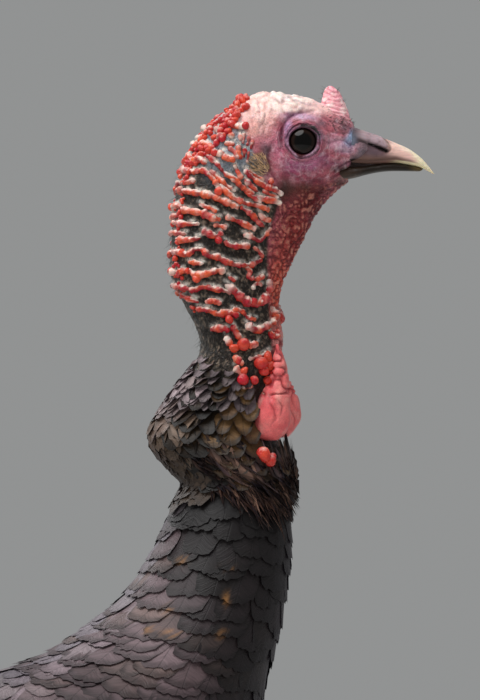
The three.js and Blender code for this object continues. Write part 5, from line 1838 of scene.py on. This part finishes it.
def shank(scaly, foot_x, ankle_x, y):
    """The shank, with plates 7 mm high in front and 3 mm ones behind."""
    surface = limb_surface([[ankle_x + (foot_x - ankle_x) * far, y, *rest] for far, *rest in SHANK])
    t, angle = ring_grid(np.linspace(0, 1, 260), 72)
    points = surface(t, angle)
    front = smooth(1.35, 1.2, from_back(angle))
    relief = front * plates(points[..., 2], angle * 8, 7.0, 12.6)
    relief = relief + (1 - front) * plates(points[..., 2], angle * 8, 3.1, 3.2)
    scaled(scaly, points, relief, 0.5, (0, 0, 0.45, 1))


def toe(scaly, foot, ahead, which, patch):
    """A toe that swells at its joints, with a plate every 3.4 mm over its top and small scales beneath."""
    _, length, tip = TOES[which]
    root_height = 13 if which == "hind" else 9
    stops = []
    for s in (0, 0.25, 0.5, 0.75, 0.93, 1):
        radius = (TOE_RADIUS + (tip - TOE_RADIUS) * s) * (1 + 0.08 * cos(4 * pi * s)) * (0.35 if s == 1
            else 1)
        height = TOE_HEIGHT + (root_height - TOE_HEIGHT) * (1 - s) ** 2 - 1.3 * s
        stops.append([*(foot + ahead * length * s), height, radius, radius])
    t, angle = ring_grid(np.linspace(0, 1, 110), 36)
    top = smooth(-0.2, 0.35, np.sin(angle))
    relief = top * plates(t * length, np.zeros_like(t) + 50, 3.4, 100.0)
    relief = relief + (1 - top) * plates(t * length, angle * 5, 1.9, 2.0)
    scaled(scaly, limb_surface(stops, (0, 0, 1))(t, angle), relief, 0.45, patch)


def claw(foot, ahead, which, name):
    """A claw that curves down from the end of its toe."""
    _, length, tip = TOES[which]
    stops = []
    for s in (-0.25, 0.1, 0.35, 0.75, 1):
        radius = max(0.35, tip * 0.8 * (1 - max(s, 0)) ** 0.8)
        stops.append([*(foot + ahead * (length + CLAW * s)), 4.4 - 2.6 * max(s, 0) ** 2, radius,
            radius * 0.8])
    t, angle = ring_grid(np.linspace(0, 1, 30), 24)
    points = limb_surface(stops, (0, 0, 1))(t, angle)
    points[..., 2] = np.maximum(points[..., 2], GROUND)
    horn = Gathered()
    horn.grid(closed(points), closed(mixed("#5a4940", "#241c19", smooth(0.2, 0.9, t))), True)
    horn.piece(f"claw_{which}_horn_{name}", CLAW_HORN, (f"claw_{which}_{name}",), weld=True)


def foot_pad(scaly, foot_x, y):
    """The flat pad under the toes' roots."""
    surface = limb_surface([[foot_x - 4, y, 18, 8.6, 8.6], [foot_x, y, 9, 11, 11],
        [foot_x + 1, y, 0.4, 9, 9.6]])
    t, angle = ring_grid(np.linspace(0, 1, 30), 48)
    points = surface(t, angle)
    scaled(scaly, points, plates(points[..., 2], angle * 10, 2.6, 2.6), 0.35, (0.46, 0.9, 0.1, 0.1))


def spur(x, y, side, name):
    """The spur, a horn cone that leans back and in from the shank."""
    stops = [[x - SPUR * far, y - side * out, z, radius, radius] for far, out, z, radius in SPUR_STOPS]
    t, angle = ring_grid(np.linspace(0, 1, 40), 28)
    horn = Gathered()
    shade = mixed("#8a6f5e", "#2c211d", smooth(0.1, 0.8, t))
    horn.grid(closed(limb_surface(stops)(t, angle)), closed(shade), True)
    horn.piece(f"spur_horn_{name}", CLAW_HORN, (f"spur_{name}",), weld=True)


def faces_in(surface, p, q):
    """True if a limb's surface has its normal, angle first, pointing into the limb."""
    spot, step = surface(p, q), 0.01
    normal = np.cross(surface(p, q + step) - spot, surface(p + step, q) - spot)
    return bool(np.sum(normal * (spot - surface(p, q + pi))) < 0)


def thigh_coat(side, step, ankle_x, y, name):
    """The thigh's short feathers over a form painted dark as the shade beneath them."""
    thigh = limb_surface([[104 + step * 0.2, side * 62, 385, 66, 46],
        [86 + step * 0.4, side * 61, 322, 57, 40], [ankle_x + 20, side * 59.5, 262, 37, 29],
        [ankle_x + 5, y, 216, 19, 16], [ankle_x + 0.5, y, 190, 11, 10]])
    core = thigh(*ring_grid(np.linspace(0, 1, 50), 48))
    middle = core.mean(1, keepdims=True)
    coat = Gathered()
    coat.grid(closed(middle + (core - middle) * 0.88), linear("#241c19"), True)
    p, q = rows_on(thigh, 0.12, 0.86, 8, 7)
    kind = dict(THIGH, inside_out=faces_in(thigh, p[:1], q[:1]))
    vanes(coat, thigh, p, q, kind, limb_patch, size=np.interp(p, [0.1, 0.5, 0.9], [1.3, 1.0, 0.6]))
    coat.piece(f"thigh_feathers_{name}", CONTOUR, (f"thigh_{name}",))


def leg(side, step, name):
    """One leg: the scaled shank, toes and pad, the claws, the spur and the thigh's coat."""
    y = side * FOOT_SPREAD
    foot_x = STANCE_X + step
    ankle_x = foot_x - 34 - step * 0.3
    scaly = Gathered()
    shank(scaly, foot_x, ankle_x, y)
    for number, (which, (turn, _, _)) in enumerate(TOES.items()):
        ahead = np.array([cos(radians(turn)), -side * sin(radians(turn))])
        toe(scaly, np.array([foot_x, y]), ahead, which, (0.46 + 0.135 * number, 0, 0.12, 1))
        claw(np.array([foot_x, y]), ahead, which, name)
    foot_pad(scaly, foot_x, y)
    scaly.piece(f"leg_hide_{name}", SCUTE, (f"shank_{name}", f"foot_{name}"), weld=True)
    spur(ankle_x + (foot_x - ankle_x) * 0.68, y, side, name)
    thigh_coat(side, step, ankle_x, y, name)


leg(-1, STEP, "right")
leg(1, -STEP, "left")

# ---- floor, light and camera
def floor():
    """A plain pale round floor: matt painted board."""
    material, tree, shader = start_material("pale_matt_board", Roughness=0.8)
    shader.inputs["Base Color"].default_value = (*linear("#dad9d5"), 1.0)
    bpy.ops.mesh.primitive_circle_add(vertices=128, radius=2.2, fill_type="NGON", location=(0, 0, -0.0005))
    board = bpy.context.object
    board.name = "floor"
    board.data.materials.append(material)


def softbox(name, spot, target, size, power, mirrored=True):
    """A round area light; one that isn't mirrored leaves no disc in the wet eye."""
    lamp = bpy.data.lights.new(name, "AREA")
    lamp.shape, lamp.size, lamp.energy = "DISK", size, power
    holder = bpy.data.objects.new(name, lamp)
    aim = np.array(target) - np.array(spot)
    holder.location = spot
    holder.visible_glossy = mirrored
    holder.rotation_euler = Vector(aim).to_track_quat("-Z", "Y").to_euler()
    bpy.context.scene.collection.objects.link(holder)


floor()
softbox("sky_softbox", (-0.7, -0.9, 3.3), (0.15, 0, 0.7), 2.6, 92)
softbox("front_softbox", (0.6, -3.4, 1.5), (0.2, 0, 0.7), 2.0, 16, mirrored=False)
softbox("back_softbox", (-1.6, 2.0, 2.4), (0.1, 0, 0.6), 1.8, 30)
world = bpy.data.worlds.new("pale_room")
world.use_nodes = True
world.node_tree.nodes["Background"].inputs["Color"].default_value = (*linear("#eceeee"), 1.0)
world.node_tree.nodes["Background"].inputs["Strength"].default_value = 0.34
bpy.context.scene.world = world
bpy.context.scene.view_settings.view_transform = "Standard"

CAMERA_AWAY = 6.0
FRAME_HIGH = 700 * GRID / 1000
middle_x, middle_z = at(240, 350)
camera = bpy.data.cameras.new("level_camera")
camera.sensor_width = 36.0
camera.lens = 36.0 * CAMERA_AWAY / FRAME_HIGH
holder = bpy.data.objects.new("level_camera", camera)
holder.location = place([middle_x, -1000 * CAMERA_AWAY, middle_z])
holder.rotation_euler = (pi / 2, 0, 0)
bpy.context.scene.collection.objects.link(holder)
bpy.context.scene.camera = holder
